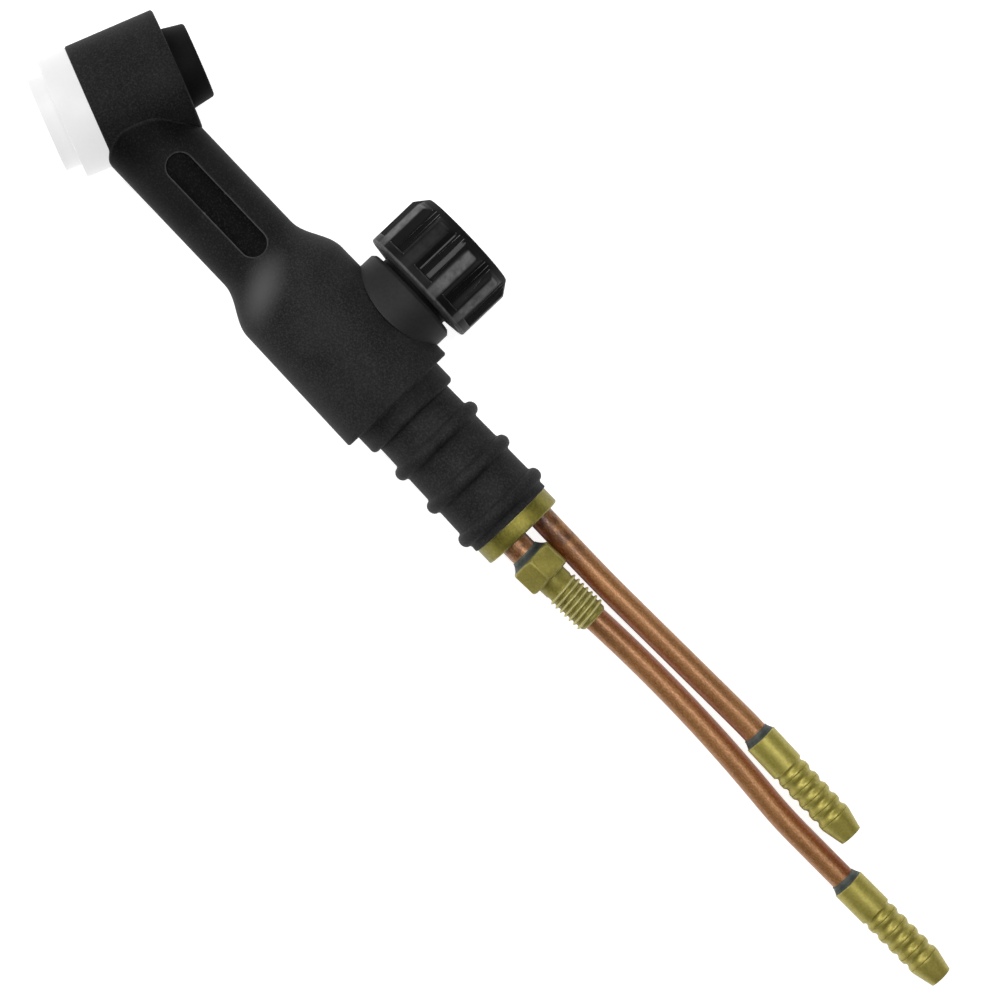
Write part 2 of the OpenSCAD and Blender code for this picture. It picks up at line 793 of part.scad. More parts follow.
// Ring seal in the stem's groove
module stem_o_ring() {
    ring_r = (stem_r - groove_r) / 2 - stem_gap / 2;
    color("black") along_valve() translate([0, 0, groove_y + groove_h / 2])
        rotate_extrude() translate([groove_r + stem_gap + ring_r, 0]) circle(r = ring_r, $fn = 32);
}

// Stem with its needle, seal groove and the spline that holds the knob
module valve_stem() {
    top = hollow_top + insert_len;
    color("goldenrod") along_valve() rotate_extrude() polygon([
        [0, needle_bottom],
        [needle_tip_r, needle_bottom],
        [needle_r, needle_top],
        [needle_r, land_y],
        [stem_r, land_y],
        [stem_r, groove_y],
        [groove_r, groove_y],
        [groove_r, groove_y + groove_h],
        [stem_r, groove_y + groove_h],
        [stem_r, hollow_top],
        [spline_r, hollow_top],
        [spline_r, top],
        [0, top]
    ]);
}

// Fluted knob with a bottom flange and a bevelled top
module valve_knob() {
    r = knob_d / 2;
    hollow_r = gland_d / 2 + knob_clear;
    rim_y = knob_bottom + flange_rise;
    color([0.09, 0.09, 0.09]) along_valve() difference() {
        rotate_extrude() polygon([
            [hollow_r, knob_bottom],
            [r - edge_bevel, rim_y],
            [r, rim_y + edge_bevel],
            [r, knob_top - knob_bevel_h],
            [r - knob_bevel_w, knob_top],
            [0, knob_top],
            [0, hollow_top],
            [hollow_r, hollow_top]
        ]);
        for (i = [0 : knob_flutes - 1]) rotate(360 / knob_flutes * (i + flute_phase)) flute();
        translate([0, 0, hollow_top - eps]) cylinder(h = insert_len + eps, d = insert_d);
    }
}

// Cutter for one flute: a flat floor between slanted sides
module flute() {
    floor_r = knob_d / 2 - flute_depth;
    mouth_r = sqrt(pow(knob_d / 2, 2) - pow(flute_mouth / 2, 2));
    slant = (flute_mouth - flute_floor) / 2 / (mouth_r - floor_r);
    reach = 2 * flute_depth;
    top_w = flute_floor + 2 * slant * reach;
    translate([0, 0, knob_bottom + knob_flange]) linear_extrude(knob_h) polygon([
        [floor_r, -flute_floor / 2],
        [floor_r + reach, -top_w / 2],
        [floor_r + reach, top_w / 2],
        [floor_r, flute_floor / 2]
    ]);
}

// Brass insert moulded into the knob
module knob_insert() {
    color("goldenrod") along_valve() translate([0, 0, hollow_top]) difference() {
        cylinder(h = insert_len, d = insert_d);
        translate([0, 0, -eps]) cylinder(h = insert_len + 2 * eps, r = spline_r);
    }
}

// ---- Handle spigot ----

// Ribbed rubber spigot that the handle pushes over, moulded round the tubes
module handle_spigot() {
    color([0.15, 0.15, 0.15]) difference() {
        along_x() {
            rounded_step();
            translate([0, 0, step_end - eps])
                cylinder(h = spigot_len + eps, d1 = spigot_front_d, d2 = spigot_rear_d);
            for (i = [0 : rib_count - 1]) translate([0, 0, step_end + rib_first + i * rib_pitch]) rib();
        }
        rear_rods(housing_end - eps, spigot_end + eps);
    }
}

// The step in front of the ribs, with a rounded rear edge
module rounded_step() {
    r = handle_bore_d / 2;
    rotate_extrude() polygon(concat(
        [[0, housing_end], [r, housing_end]],
        [for (a = [0 : round_step_angle : 90])
            [r - step_round * (1 - cos(a)), step_end - step_round * (1 - sin(a))]],
        [[0, step_end]]
    ));
}

// One ring rib with a flat crest and rounded flanks
module rib() {
    foot_r = spigot_front_d / 2 - rib_sink;
    crest_r = handle_bore_d / 2;
    rise = crest_r - foot_r;
    flank = (rib_w - rib_flat) / 2;
    rotate_extrude() polygon(concat(
        [[0, -rib_w / 2]],
        [for (a = [0 : round_step_angle : 90]) [foot_r + rise * sin(a), -rib_flat / 2 - flank * cos(a)]],
        [for (a = [90 : -round_step_angle : 0]) [foot_r + rise * sin(a), rib_flat / 2 + flank * cos(a)]],
        [[0, rib_w / 2]]
    ));
}

// Brass ring round the rear end of the spigot
module end_ring() {
    color("darkkhaki") along_x() difference() {
        bevelled(ring_d, spigot_end, ring_end, 0, edge_bevel);
        translate([0, 0, spigot_end - eps]) cylinder(h = ring_len + 2 * eps, d = ring_d - 2 * ring_wall);
    }
}

// Dark potting that fills the end ring round the tubes
module end_potting() {
    color([0.08, 0.09, 0.09]) difference() {
        rod([0, 0, ring_d - 2 * ring_wall], spigot_end, ring_end - potting_recess);
        rear_rods(spigot_end - eps, ring_end);
    }
}

// ---- Tubes and fittings ----

// Moves its children to the front end of a rear tube
module at_tube_start(place) {
    translate([tube_start, place[0], place[1]]) children();
}

module gas_tube() {
    color("chocolate") at_tube_start(rear_gas) routed_tube(gas_route, tube_d, tube_wall, barb_socket);
}

module water_tube() {
    color("chocolate") at_tube_start(rear_water) routed_tube(water_route, tube_d, tube_wall, barb_socket);
}

module power_stub() {
    color("chocolate") at_tube_start(rear_power) routed_tube(power_route, stub_d, tube_wall, hex_socket);
}

// Solder fillet that tapers from a fitting down to its tube
module solder(fitting_d, d) {
    length = solder_len - solder_margin;
    color("dimgray") along_x() difference() {
        translate([0, 0, -length])
            cylinder(h = length, d1 = d + 2 * solder_rim, d2 = fitting_d - 2 * solder_rim);
        translate([0, 0, -length - eps]) cylinder(h = length + 2 * eps, d = d);
    }
}

module gas_solder() {
    at_tube_start(rear_gas) at_route_end(gas_route) solder(barb_d, tube_d);
}

module water_solder() {
    at_tube_start(rear_water) at_route_end(water_route) solder(barb_d, tube_d);
}

module power_solder() {
    at_tube_start(rear_power) at_route_end(power_route) solder(hex_af, stub_d);
}

// Hose barb: a plain collar, small ridges and a pointed end
module barb() {
    r = barb_d / 2;
    ridges_end = barb_collar + barb_ridges * barb_pitch;
    tip_end = ridges_end + tip_len;
    color("darkkhaki") along_x() difference() {
        rotate_extrude() polygon(concat(
            [[0, 0], [r - edge_bevel, 0], [r, edge_bevel], [r, barb_collar]],
            [for (i = [0 : barb_ridges]) each ridge_points(barb_collar + i * barb_pitch)],
            [[tip_d / 2, tip_end - edge_bevel], [tip_d / 2 - edge_bevel, tip_end], [0, tip_end]]
        ));
        translate([0, 0, -eps]) cylinder(h = barb_socket + eps, d = tube_d);
        translate([0, 0, barb_socket - eps]) cylinder(h = tip_end, d = barb_bore_d);
    }
}

// Outline of one valley and the ridge behind it, shared out over a pitch
function ridge_points(z) = [
    [valley_d / 2, z + 0.12 * barb_pitch],
    [valley_d / 2, z + 0.27 * barb_pitch],
    [barb_d / 2, z + 0.51 * barb_pitch],
    [barb_d / 2, z + 0.8 * barb_pitch]
];

module gas_barb() {
    at_tube_start(rear_gas) at_route_end(gas_route) barb();
}

module water_barb() {
    at_tube_start(rear_water) at_route_end(water_route) barb();
}

// Brass connector with a hexagon and a male thread, for the power and water cable
module power_connector() {
    thread_start = hex_len + shank_len;
    thread_end = thread_start + thread_turns * thread_pitch;
    color("darkkhaki") at_tube_start(rear_power) at_route_end(power_route) along_x() difference() {
        union() {
            intersection() {
                rotate(hex_angle) cylinder(h = hex_len, d = hex_af / cos(30), $fn = 6);
                bevelled(hex_af / cos(30), 0, hex_len, hex_bevel, hex_bevel);
            }
            cylinder(h = thread_start, d = shank_d);
            rotate_extrude() polygon(concat(
                [[0, thread_start - eps], [root_d / 2, thread_start - eps]],
                [for (i = [0 : thread_turns - 1]) each crest_points(thread_start + i * thread_pitch)],
                [[root_d / 2, thread_end], [0, thread_end]]
            ));
        }
        translate([0, 0, -eps]) cylinder(h = hex_socket + eps, d = stub_d);
        translate([0, 0, hex_socket - eps]) cylinder(h = thread_end, d = stub_d - 2 * tube_wall);
    }
}

// Outline of one thread crest
function crest_points(z) = [
    [root_d / 2, z + 0.15 * thread_pitch],
    [thread_d / 2, z + 0.42 * thread_pitch],
    [thread_d / 2, z + 0.58 * thread_pitch],
    [root_d / 2, z + 0.85 * thread_pitch]
];

torch_body();
water_jacket();
head_shell();
heat_shield();
rear_collar();
neck_sleeve();
neck_gas_tube();
neck_water_tube();
neck_power_tube();
valve_housing();
valve_boss();
valve_block();
valve_seat();
stem_packing();
gland_nut();
stem_o_ring();
valve_stem();
valve_knob();
knob_insert();
handle_spigot();
end_ring();
end_potting();
gas_tube();
gas_solder();
gas_barb();
water_tube();
water_solder();
water_barb();
power_stub();
power_solder();
power_connector();
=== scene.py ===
# %% [markdown]
# # The head of a water-cooled welding torch
#
# This lesson dresses the CAD model of a welding torch head: a rubber head on a neck that bends, a
# valve housing with a fluted knob, a ribbed spigot for the handle, and copper tubes with brass
# fittings. The CAD gives every place and size, and Blender adds soft edges, real surfaces and
# finishes. Lengths are in millimetres, which MM turns into Blender's metres. The first step loads
# the CAD frame.

# %% Load the frame
import math
import bpy
from mathutils import Matrix, Vector


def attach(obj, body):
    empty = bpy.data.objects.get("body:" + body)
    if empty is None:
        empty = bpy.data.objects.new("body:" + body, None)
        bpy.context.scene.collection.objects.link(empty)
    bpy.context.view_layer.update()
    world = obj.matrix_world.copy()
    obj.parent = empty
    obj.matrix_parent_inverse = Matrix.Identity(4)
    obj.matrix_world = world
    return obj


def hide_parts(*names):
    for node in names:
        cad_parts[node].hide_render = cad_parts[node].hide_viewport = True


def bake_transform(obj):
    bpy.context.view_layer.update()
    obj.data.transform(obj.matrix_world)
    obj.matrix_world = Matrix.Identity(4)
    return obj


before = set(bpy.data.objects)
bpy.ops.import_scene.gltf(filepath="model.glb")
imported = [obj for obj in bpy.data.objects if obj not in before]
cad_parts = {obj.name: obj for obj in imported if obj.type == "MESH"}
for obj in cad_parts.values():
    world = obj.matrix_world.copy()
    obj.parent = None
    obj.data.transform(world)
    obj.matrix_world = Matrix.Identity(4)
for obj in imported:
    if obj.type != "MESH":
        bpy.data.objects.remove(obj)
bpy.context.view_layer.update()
MM = 0.001

# %% [markdown]
# ## The camera
#
# The torch lies on its side, with the camera high above it and a little off the middle, so that one
# just sees under the knob's rim. The camera could be turned by hand until it fits, but it is more
# exact to build its axes: it looks from the eye to a target, and is rolled so that the handle runs
# down to the right.

# %% Camera
aim = Vector((93.06, 0.886, 0)) * MM
eye = Vector((69, -25, 752)) * MM
image_up = Vector((-0.7242, 0.6896, 0))
view_width = 166.7 * MM

back = (eye - aim).normalized()
up = (image_up - back * image_up.dot(back)).normalized()
right = up.cross(back)
camera = bpy.data.objects.new("camera", bpy.data.cameras.new("camera"))
camera.data.lens = camera.data.sensor_width * (eye - aim).length / view_width
camera.data.clip_start = 0.01
camera.matrix_world = Matrix.Translation(eye) @ Matrix((right, up, back)).transposed().to_4x4()
bpy.context.scene.collection.objects.link(camera)
bpy.context.scene.camera = camera
print("camera lens:", round(camera.data.lens, 1), "mm")

# %% [markdown]
# ## Node helpers
#
# Light and finishes are shader nodes, and a few small functions keep their wiring short.

# %% Node helpers
def add_node(nodes, kind, **settings):
    """A new shader node with some of its settings changed."""
    made = nodes.new("ShaderNode" + kind)
    for key, value in settings.items():
        setattr(made, key, value)
    return made


def feed(made, *values):
    """Feed a node's inputs in order from sockets or plain values. None leaves an input as it is."""
    for socket, value in zip(made.inputs, values):
        if isinstance(value, bpy.types.NodeSocket):
            made.id_data.links.new(value, socket)
        elif value is not None:
            socket.default_value = value
    return made


def wire(kind, *values, tree=None, out=0, **settings):
    """Add a node, feed it, and give back one of its outputs. Without a tree it goes to the tree of
    the first socket that feeds it."""
    tree = tree or next(v.id_data for v in values if isinstance(v, bpy.types.NodeSocket))
    return feed(add_node(tree.nodes, kind, **settings), *values).outputs[out]


def set_inputs(node, values):
    """Type values into some of a node's inputs by their names."""
    for label, value in values.items():
        node.inputs[label].default_value = value


print("a node is added and fed by wire()")

# %% [markdown]
# ## Light and floor
#
# Black rubber shows its shape only by soft light from the sides. The key lamp shines along the torch
# from the head's end, so the shoulder catches it and the neck stays dark. A small lamp overhead draws
# a bright line on the tubes, and a large one fills from the knob's side. The surroundings fade from
# light on the left to dark on the right, so that the right-hand sides fall off to black. The floor is
# a plain pale sheet under the housing. The standard view transform keeps it as pale as it is.

# %% Lamps and surroundings
scene = bpy.context.scene
scene.view_settings.view_transform = "Standard"


def lamp(name, place, size, power):
    """A square soft lamp that looks at the middle of the torch."""
    light = bpy.data.objects.new(name, bpy.data.lights.new(name, "AREA"))
    light.data.size = size
    light.data.energy = power
    light.location = place
    light.rotation_euler = (place - aim).to_track_quat("Z", "Y").to_euler()
    scene.collection.objects.link(light)


high = Vector((0, 0, 1))
lamp("key_lamp", aim + Vector((-0.57, -0.18, 0.48)), 0.3, 2.3)
lamp("over_lamp", aim + right * 0.1 + up * 0.12 + high * 0.85, 0.14, 1.6)
lamp("fill_lamp", aim + up * 0.12 + high * 0.85, 0.9, 3.2)

world = bpy.data.worlds.new("studio")
scene.world = world
world.use_nodes = True
tree = world.node_tree
place = wire("TexCoord", tree=tree, out="Generated")
side = wire("VectorMath", place, -right, operation="DOT_PRODUCT", out="Value")
strength = wire("MapRange", side, -0.6, 1, 0.14, 0.4)
tree.links.new(strength, tree.nodes["Background"].inputs["Strength"])

# %% Floor
FLOOR = -11.15 * MM
bpy.ops.object.select_all(action="DESELECT")
bpy.ops.mesh.primitive_plane_add(size=6, location=(aim.x, aim.y, FLOOR))
floor = bpy.context.object
floor.name = "floor"
paper = bpy.data.materials.new("floor_paper")
paper.use_nodes = True
set_inputs(paper.node_tree.nodes["Principled BSDF"], {
    "Base Color": (0.6, 0.6, 0.6, 1), "Roughness": 0.9, "Emission Color": (1, 1, 1, 1),
    "Emission Strength": 0.88})
floor.data.materials.append(paper)
print("floor height:", round(FLOOR / MM, 2), "mm")

# %% [markdown]
# ## Shared effects
#
# Several finishes share the same effects, so each effect is a node group that is built once. A
# group has named inputs and gives out only masks, and every material decides what a mask does to its
# colour, roughness or bump. The first group is grain: fine speckle and slow blotches, both from
# noise on the piece's own coordinates, so that nothing slides when a piece moves.

# %% The grain group
def noise(vector, scale, detail):
    """The grey value of a noise pattern."""
    return wire("TexNoise", vector, None, scale, detail)


def new_group(name, inputs, outputs):
    """An empty node group with named sockets, and its two end nodes."""
    group = bpy.data.node_groups.new(name, "ShaderNodeTree")
    for label, value in inputs.items():
        kind = "NodeSocketVector" if value is None else "NodeSocketFloat"
        socket = group.interface.new_socket(label, in_out="INPUT", socket_type=kind)
        if value is not None:
            socket.default_value = value
    for label in outputs:
        group.interface.new_socket(label, in_out="OUTPUT", socket_type="NodeSocketFloat")
    return group, group.nodes.new("NodeGroupInput"), group.nodes.new("NodeGroupOutput")


grain_group, start, end = new_group(
    "grain", {"Vector": None, "Speckle Scale": 1800.0, "Blotch Scale": 90.0}, ["Speckle", "Blotch"])
for label, detail in (("Speckle", 3), ("Blotch", 5)):
    pattern = noise(start.outputs["Vector"], start.outputs[label + " Scale"], detail)
    grain_group.links.new(pattern, end.inputs[label])
print("group:", grain_group.name)

# %% [markdown]
# Edges of a used tool are rubbed lighter, and its inner corners are painted darker, as shade. Both
# can be found by looking how much of the surroundings a point can see: an ambient occlusion node
# that looks into the solid finds outer edges, and one that looks out finds inner corners. A little
# noise breaks the rubbed line up, because wear is never even.

# %% The edge group
edge_group, start, end = new_group(
    "edge_wear", {"Vector": None, "Reach": 0.0005, "Gain": 2.0, "Break": 0.5}, ["Edge", "Corner"])
reach = start.outputs["Reach"]
inner_look = wire("AmbientOcclusion", None, reach, out="AO", inside=True, only_local=True, samples=8)
outer_look = wire("AmbientOcclusion", None, reach, out="AO", only_local=True, samples=8)
rub = noise(start.outputs["Vector"], 900, 4)
patchy = wire("Math", rub, start.outputs["Break"], operation="MULTIPLY")
seen = wire("Math", 1, inner_look, operation="SUBTRACT")
raised = wire("Math", seen, start.outputs["Gain"], operation="MULTIPLY")
worn = wire("Math", raised, patchy, operation="SUBTRACT", use_clamp=True)
hidden = wire("Math", 1, outer_look, operation="SUBTRACT", use_clamp=True)
edge_group.links.new(worn, end.inputs["Edge"])
edge_group.links.new(hidden, end.inputs["Corner"])
print("group:", edge_group.name)

# %% [markdown]
# ## Finishes
#
# Every finish here has the same build: a dark and a light colour that the blotches mix, a colour for
# rubbed edges, a painted shade in corners, a roughness that the grain changes, and a fine
# bump. One helper wires that, and each finish gives it its own values. Metals and plastics differ in
# the shader's own sockets, such as Metallic. The rubber bends, so its finish reads an attribute that
# holds each point's place at rest. Patterns on Object coordinates would slide over it.

# %% The finish helper
def wire_mix(factor, low, high_value, kind="FLOAT"):
    """A Mix node between two values or colours. Each of them is a socket or a plain value."""
    if kind == "RGBA":
        return wire("Mix", factor, None, None, None, None, None, low, high_value,
                    out=2, data_type=kind)
    return wire("Mix", factor, None, low, high_value, data_type=kind)


def multiply(first, second):
    """One value or mask times another."""
    return wire("Math", first, second, operation="MULTIPLY")


def rgb(red, green, blue):
    """A screen colour from 0 to 255 as Blender's linear colour."""
    def linear(v):
        v /= 255
        return v / 12.92 if v <= 0.04045 else ((v + 0.055) / 1.055) ** 2.4
    return (linear(red), linear(green), linear(blue), 1)


def finish(name, dark, light, rubbed, metallic=0.0, rough=(0.5, 0.7), specular=0.5,
           grain=(1800, 90), speck=0.3, dust=0.0, reach=0.5, gain=2.0, patchy=0.5, corner=0.6,
           bump=0.02, stretch=(1, 1, 1), shift=None, bends=False, spare=None):
    """A finish from two blotched colours, rubbed edges, shaded corners and a fine bump. Shift may
    change the colour over the piece, and spare says where edges are left alone."""
    material = bpy.data.materials.new(name)
    material.use_nodes = True
    tree = material.node_tree
    shader = tree.nodes["Principled BSDF"]
    set_inputs(shader, {"Metallic": metallic, "Specular IOR Level": specular})
    if bends:
        place = wire("Attribute", tree=tree, attribute_name="rest", out="Vector")
    else:
        place = wire("TexCoord", tree=tree, out="Object")
    stretched = wire("Mapping", place, None, None, stretch)
    grains = feed(add_node(tree.nodes, "Group", node_tree=grain_group), stretched, *grain).outputs
    edges = feed(add_node(tree.nodes, "Group", node_tree=edge_group),
                 place, reach * MM, gain, patchy).outputs
    blotch, speckle = (wire("MapRange", grains[label], 0.35, 0.65)
                       for label in ("Blotch", "Speckle"))
    colour = wire_mix(wire_mix(speck, blotch, speckle), dark, light, "RGBA")
    if shift:
        colour = shift(place, colour)
    specks = wire("MapRange", grains["Speckle"], 0.5, 0.75, 0, dust)
    colour = wire_mix(specks, colour, rubbed, "RGBA")
    edge = multiply(spare(place), edges["Edge"]) if spare else edges["Edge"]
    colour = wire_mix(edge, colour, rubbed, "RGBA")
    # Inner corners get a painted shade: the colour falls towards a quarter of the dark colour.
    shaded = tuple(0.25 * v for v in dark[:3]) + (1,)
    colour = wire_mix(multiply(edges["Corner"], corner), colour, shaded, "RGBA")
    tree.links.new(colour, shader.inputs["Base Color"])
    tree.links.new(wire_mix(grains["Blotch"], *rough), shader.inputs["Roughness"])
    relief = add_node(tree.nodes, "Bump")
    set_inputs(relief, {"Distance": bump * MM})
    tree.links.new(grains["Speckle"], relief.inputs["Height"])
    tree.links.new(relief.outputs["Normal"], shader.inputs["Normal"])
    return material


print("finishes are built by finish()")

# %% [markdown]
# The torch has three blacks. The head, neck and housing are moulded silicone rubber, matt and a
# little dusty. The neck is painted darker than the head and the housing, as shade, and darkest at the
# head, as a painted shadow: masks on the distance from the head's axis and along the handle fade
# between them. A slanting pale patch on the shoulder is a painted highlight. The two halves of the
# skin meet in the middle of the neck, and no edge is rubbed there, nor where the boss is set in.

# %% Masks
HEAD_ACROSS = (0.93969, -0.34202, 0)
SEAM_X = 25.028
PANEL_Y = 0.3
PANEL_R = 2.35


def fade_between(value, low, high_value):
    """A soft step from 0 to 1 while a length grows from low to high, in mm."""
    return wire("MapRange", value, low * MM, high_value * MM, interpolation_type="SMOOTHSTEP")


def along_axis(vector, axis):
    """How far a point lies along an axis."""
    return wire("SeparateXYZ", vector, out=axis)


def vector_length(vector):
    """The length of a vector."""
    return wire("VectorMath", vector, operation="LENGTH", out="Value")


def away_from_head(vector):
    """How far a point is from the axis of the head."""
    across = wire("VectorMath", vector, HEAD_ACROSS, operation="DOT_PRODUCT", out="Value")
    return vector_length(wire("CombineXYZ", across, 0, along_axis(vector, "Z")))


def off_seam(vector):
    """Where edges are rubbed: not next to the seam, except that the panel's rim crosses it."""
    offsets = (wire("Math", along_axis(vector, axis), place * MM, operation="SUBTRACT")
               for axis, place in (("X", SEAM_X), ("Y", PANEL_Y)))
    seam, middle = (wire("Math", offset, operation="ABSOLUTE") for offset in offsets)
    inner, outer = (fade_between(middle, y, y + 0.1) for y in (PANEL_R - 0.25, PANEL_R + 0.15))
    rim = wire_mix(outer, inner, 0.0)
    rim = wire_mix(fade_between(along_axis(vector, "Z"), 5, 6), 0.0, rim)
    return wire_mix(rim, fade_between(seam, 0.3, 0.5), 1.0)


def off_seam_and_boss(vector):
    """The same, and no edge is rubbed round the boss either."""
    high_up = fade_between(along_axis(vector, "Y"), 6.6, 6.9)
    return wire_mix(high_up, off_seam(vector), 0.0)


print("masks for the rubber are ready")

# %% Rubber
# Painted shade: the neck's darker colour, and a darker painted shadow where the neck meets the head.
NECK_SHADE = rgb(26, 26, 27)
CREASE_SHADOW = rgb(11, 11, 12)
PANEL = rgb(6, 6, 7)
# A painted highlight on the shoulder: its colour, its middle and its slant.
SHOULDER_HIGHLIGHT = rgb(84, 84, 84)
SHOULDER_HIGHLIGHT_PLACE = (41 * MM, -3.9 * MM, 8.5 * MM)
SHOULDER_HIGHLIGHT_SLANT = -27


def dark_panel(vector, colour):
    """The floor of the marking panel lies nearer the handle's axis than the skin, and is darker."""
    away = vector_length(wire("VectorMath", vector, (0, 1, 1), operation="MULTIPLY"))
    skin = fade_between(away, 7.36, 7.6)
    head = fade_between(along_axis(vector, "X"), 14.3, 13.9)
    return wire_mix(wire("Math", skin, head, operation="MAXIMUM"), PANEL, colour, "RGBA")


def neck_grain(colour):
    """The neck keeps the grain of the rubber, but is painted darker, as shade."""
    return wire_mix(0.3, NECK_SHADE, colour, "RGBA")


def painted_shoulder_highlight(vector, colour):
    """A painted highlight: a soft pale patch on top of the shoulder."""
    from_patch = wire("VectorMath", vector, SHOULDER_HIGHLIGHT_PLACE, operation="SUBTRACT")
    slanted = wire("VectorRotate", from_patch, None, None, math.radians(SHOULDER_HIGHLIGHT_SLANT),
                   rotation_type="Z_AXIS")
    squeezed = wire("VectorMath", slanted, (1.45, 0.72, 1), operation="MULTIPLY")
    # This mask is where the painted highlight lies.
    rubbed = fade_between(vector_length(squeezed), 6.5, 0)
    return wire_mix(rubbed, colour, SHOULDER_HIGHLIGHT, "RGBA")


def darker_neck(vector, colour):
    """The head's colour gives way to the neck's at the edge between them. The neck is painted darker,
    as shade, and a painted shadow makes it darkest next to the head."""
    away = away_from_head(vector)
    # A painted shadow next to the head fades into the neck's painted shade.
    neck = wire_mix(fade_between(away, 10.8, 17), CREASE_SHADOW, neck_grain(colour), "RGBA")
    outside = fade_between(away, 10.75, 11.1)
    return dark_panel(vector, wire_mix(outside, colour, neck, "RGBA"))


def darker_start(vector, colour):
    """The neck's painted shade fades to the housing's colour over the shoulder."""
    housing = fade_between(along_axis(vector, "X"), 33, 43)
    skin = wire_mix(housing, neck_grain(colour), colour, "RGBA")
    return dark_panel(vector, painted_shoulder_highlight(vector, skin))


silicone = dict(rough=(0.52, 0.66), specular=0.06, grain=(3400, 160), speck=0.6, dust=0.15,
                corner=0.9, reach=0.4, gain=1.7, bends=True)
head_rubber = finish("head_rubber", rgb(26, 26, 27), rgb(44, 44, 45), rgb(84, 84, 84), bump=0.012,
                     shift=darker_neck, spare=off_seam, **silicone)
body_rubber = finish("body_rubber", rgb(33, 33, 34), rgb(52, 52, 53), rgb(92, 92, 92), bump=0.014,
                     shift=darker_start, spare=off_seam_and_boss, **silicone)
print("rubber:", head_rubber.name, body_rubber.name)

# %% Moulded blacks
collar_black = finish("collar_black", rgb(16, 16, 17), rgb(24, 24, 25), rgb(52, 52, 52),
                      rough=(0.55, 0.7), specular=0.07, gain=1.4, bump=0.008)
boss_grey = finish("boss_grey", rgb(40, 40, 41), rgb(51, 51, 52), rgb(90, 90, 90),
                   rough=(0.5, 0.62), specular=0.15, gain=0.9, bump=0.006)
resin_black = finish("resin_black", rgb(14, 14, 19), rgb(21, 21, 27), rgb(40, 42, 48),
                     rough=(0.35, 0.6), specular=0.4, grain=(1500, 220), bump=0.03)
spigot_black = finish("spigot_black", rgb(30, 30, 31), rgb(48, 48, 49), rgb(88, 88, 88),
                      rough=(0.55, 0.7), specular=0.1, grain=(3000, 300), speck=0.5, dust=0.2,
                      gain=1.2, corner=0.9, bump=0.02)
print("blacks:", [m.name for m in (collar_black, boss_grey, resin_black, spigot_black)])

# %% [markdown]
# The heat shield is turned from white PTFE, which lets a little light in, and it is given a faint
# glow, as painted light, so its shadows stay pale. The brass is dull and greenish, with brighter
# rubbed ridges. The copper tube is brown with age and drawn lengthwise, so its blotches are stretched
# along X. Soldering has stained it dark, and a reddish reflection is painted on the sides of the two
# tubes that face each other. Solder is a rough dark grey.

# %% White plastic and metals
def heat_stain_and_reflection(vector, colour):
    """Heat darkens the copper by the end ring; a red reflection is painted on the facing sides."""
    near = fade_between(along_axis(vector, "X"), 114, 101)
    hard = wire("MapRange", noise(vector, 420, 4), 0.4, 0.62)
    drawn = wire("Mapping", vector, None, None, (0.12, 1, 1))
    facing = wire("Attribute", tree=vector.id_data, attribute_name="facing", out="Fac")
    slid = wire("Math", facing, noise(drawn, 260, 2), operation="ADD")
    # Painted reflection: red on the sides of the tubes that face each other.
    painted_red_reflection = wire("MapRange", slid, 0.75, 1.25, 0, 0.85, interpolation_type="SMOOTHSTEP")
    colour = wire_mix(painted_red_reflection, colour, rgb(128, 60, 18), "RGBA")
    return wire_mix(multiply(near, hard), colour, rgb(76, 44, 34), "RGBA")


white_ptfe = finish("white_ptfe", rgb(146, 146, 146), rgb(152, 152, 152), rgb(162, 162, 162),
                    rough=(0.4, 0.55), specular=0.4, grain=(1400, 120), gain=0.6, corner=0.04,
                    bump=0.004)
# The emission is painted light, a faint glow that keeps the shield's shadows pale; the subsurface is
# the light that PTFE lets in.
set_inputs(white_ptfe.node_tree.nodes["Principled BSDF"], {
    "Emission Color": (1, 1, 1, 1), "Emission Strength": 0.57, "Subsurface Weight": 0.1,
    "Subsurface Radius": (1, 1, 1), "Subsurface Scale": 0.001})
dull_brass = finish("dull_brass", rgb(160, 149, 64), rgb(186, 174, 88), rgb(214, 204, 130),
                    metallic=0.4, rough=(0.38, 0.48), grain=(2600, 300), speck=0.6, reach=0.25,
                    gain=1.2, corner=0.7, bump=0.008)
ring_brass = finish("ring_brass", rgb(108, 101, 36), rgb(152, 143, 60), rgb(214, 208, 150),
                    metallic=0.6, rough=(0.4, 0.55), grain=(2600, 500), speck=0.5, reach=0.4,
                    gain=2.4, bump=0.01)
fitting_brass = finish("fitting_brass", rgb(130, 121, 50), rgb(164, 153, 70), rgb(206, 198, 132),
                       metallic=0.4, rough=(0.45, 0.6), grain=(2600, 500), speck=0.5, reach=0.6,
                       gain=3.0, patchy=0.6, bump=0.01)
old_copper = finish("old_copper", rgb(138, 90, 50), rgb(182, 130, 80), rgb(212, 158, 112),
                    metallic=0.3, rough=(0.32, 0.44), grain=(5200, 200), speck=0.75, dust=0.3,
                    gain=0.5, bump=0.01, stretch=(0.5, 1, 1), shift=heat_stain_and_reflection)
grey_solder = finish("grey_solder", rgb(34, 40, 37), rgb(68, 74, 68), rgb(130, 136, 130),
                     metallic=0.3, rough=(0.5, 0.65), grain=(1900, 900), speck=0.4, gain=0.6,
                     bump=0.06)
print("metals:", [m.name for m in (dull_brass, ring_brass, fitting_brass, old_copper, grey_solder)])

# %% [markdown]
# ## Shaping helpers
#
# Nearly every part was turned on a lathe or moulded round. Here a circle is added at the first point
# of an outline, and then extruded and resized ring by ring. A filled circle gives a solid piece. An
# open one gives a bored piece, whose last ring comes back to the first. Spin would do it too, but
# the rings are easy to read next to the CAD's numbers.

# %% Lathe and finishing helpers
def clear_selection():
    """Nothing stays selected, so the next operator acts on its own piece only."""
    bpy.ops.object.select_all(action="DESELECT")


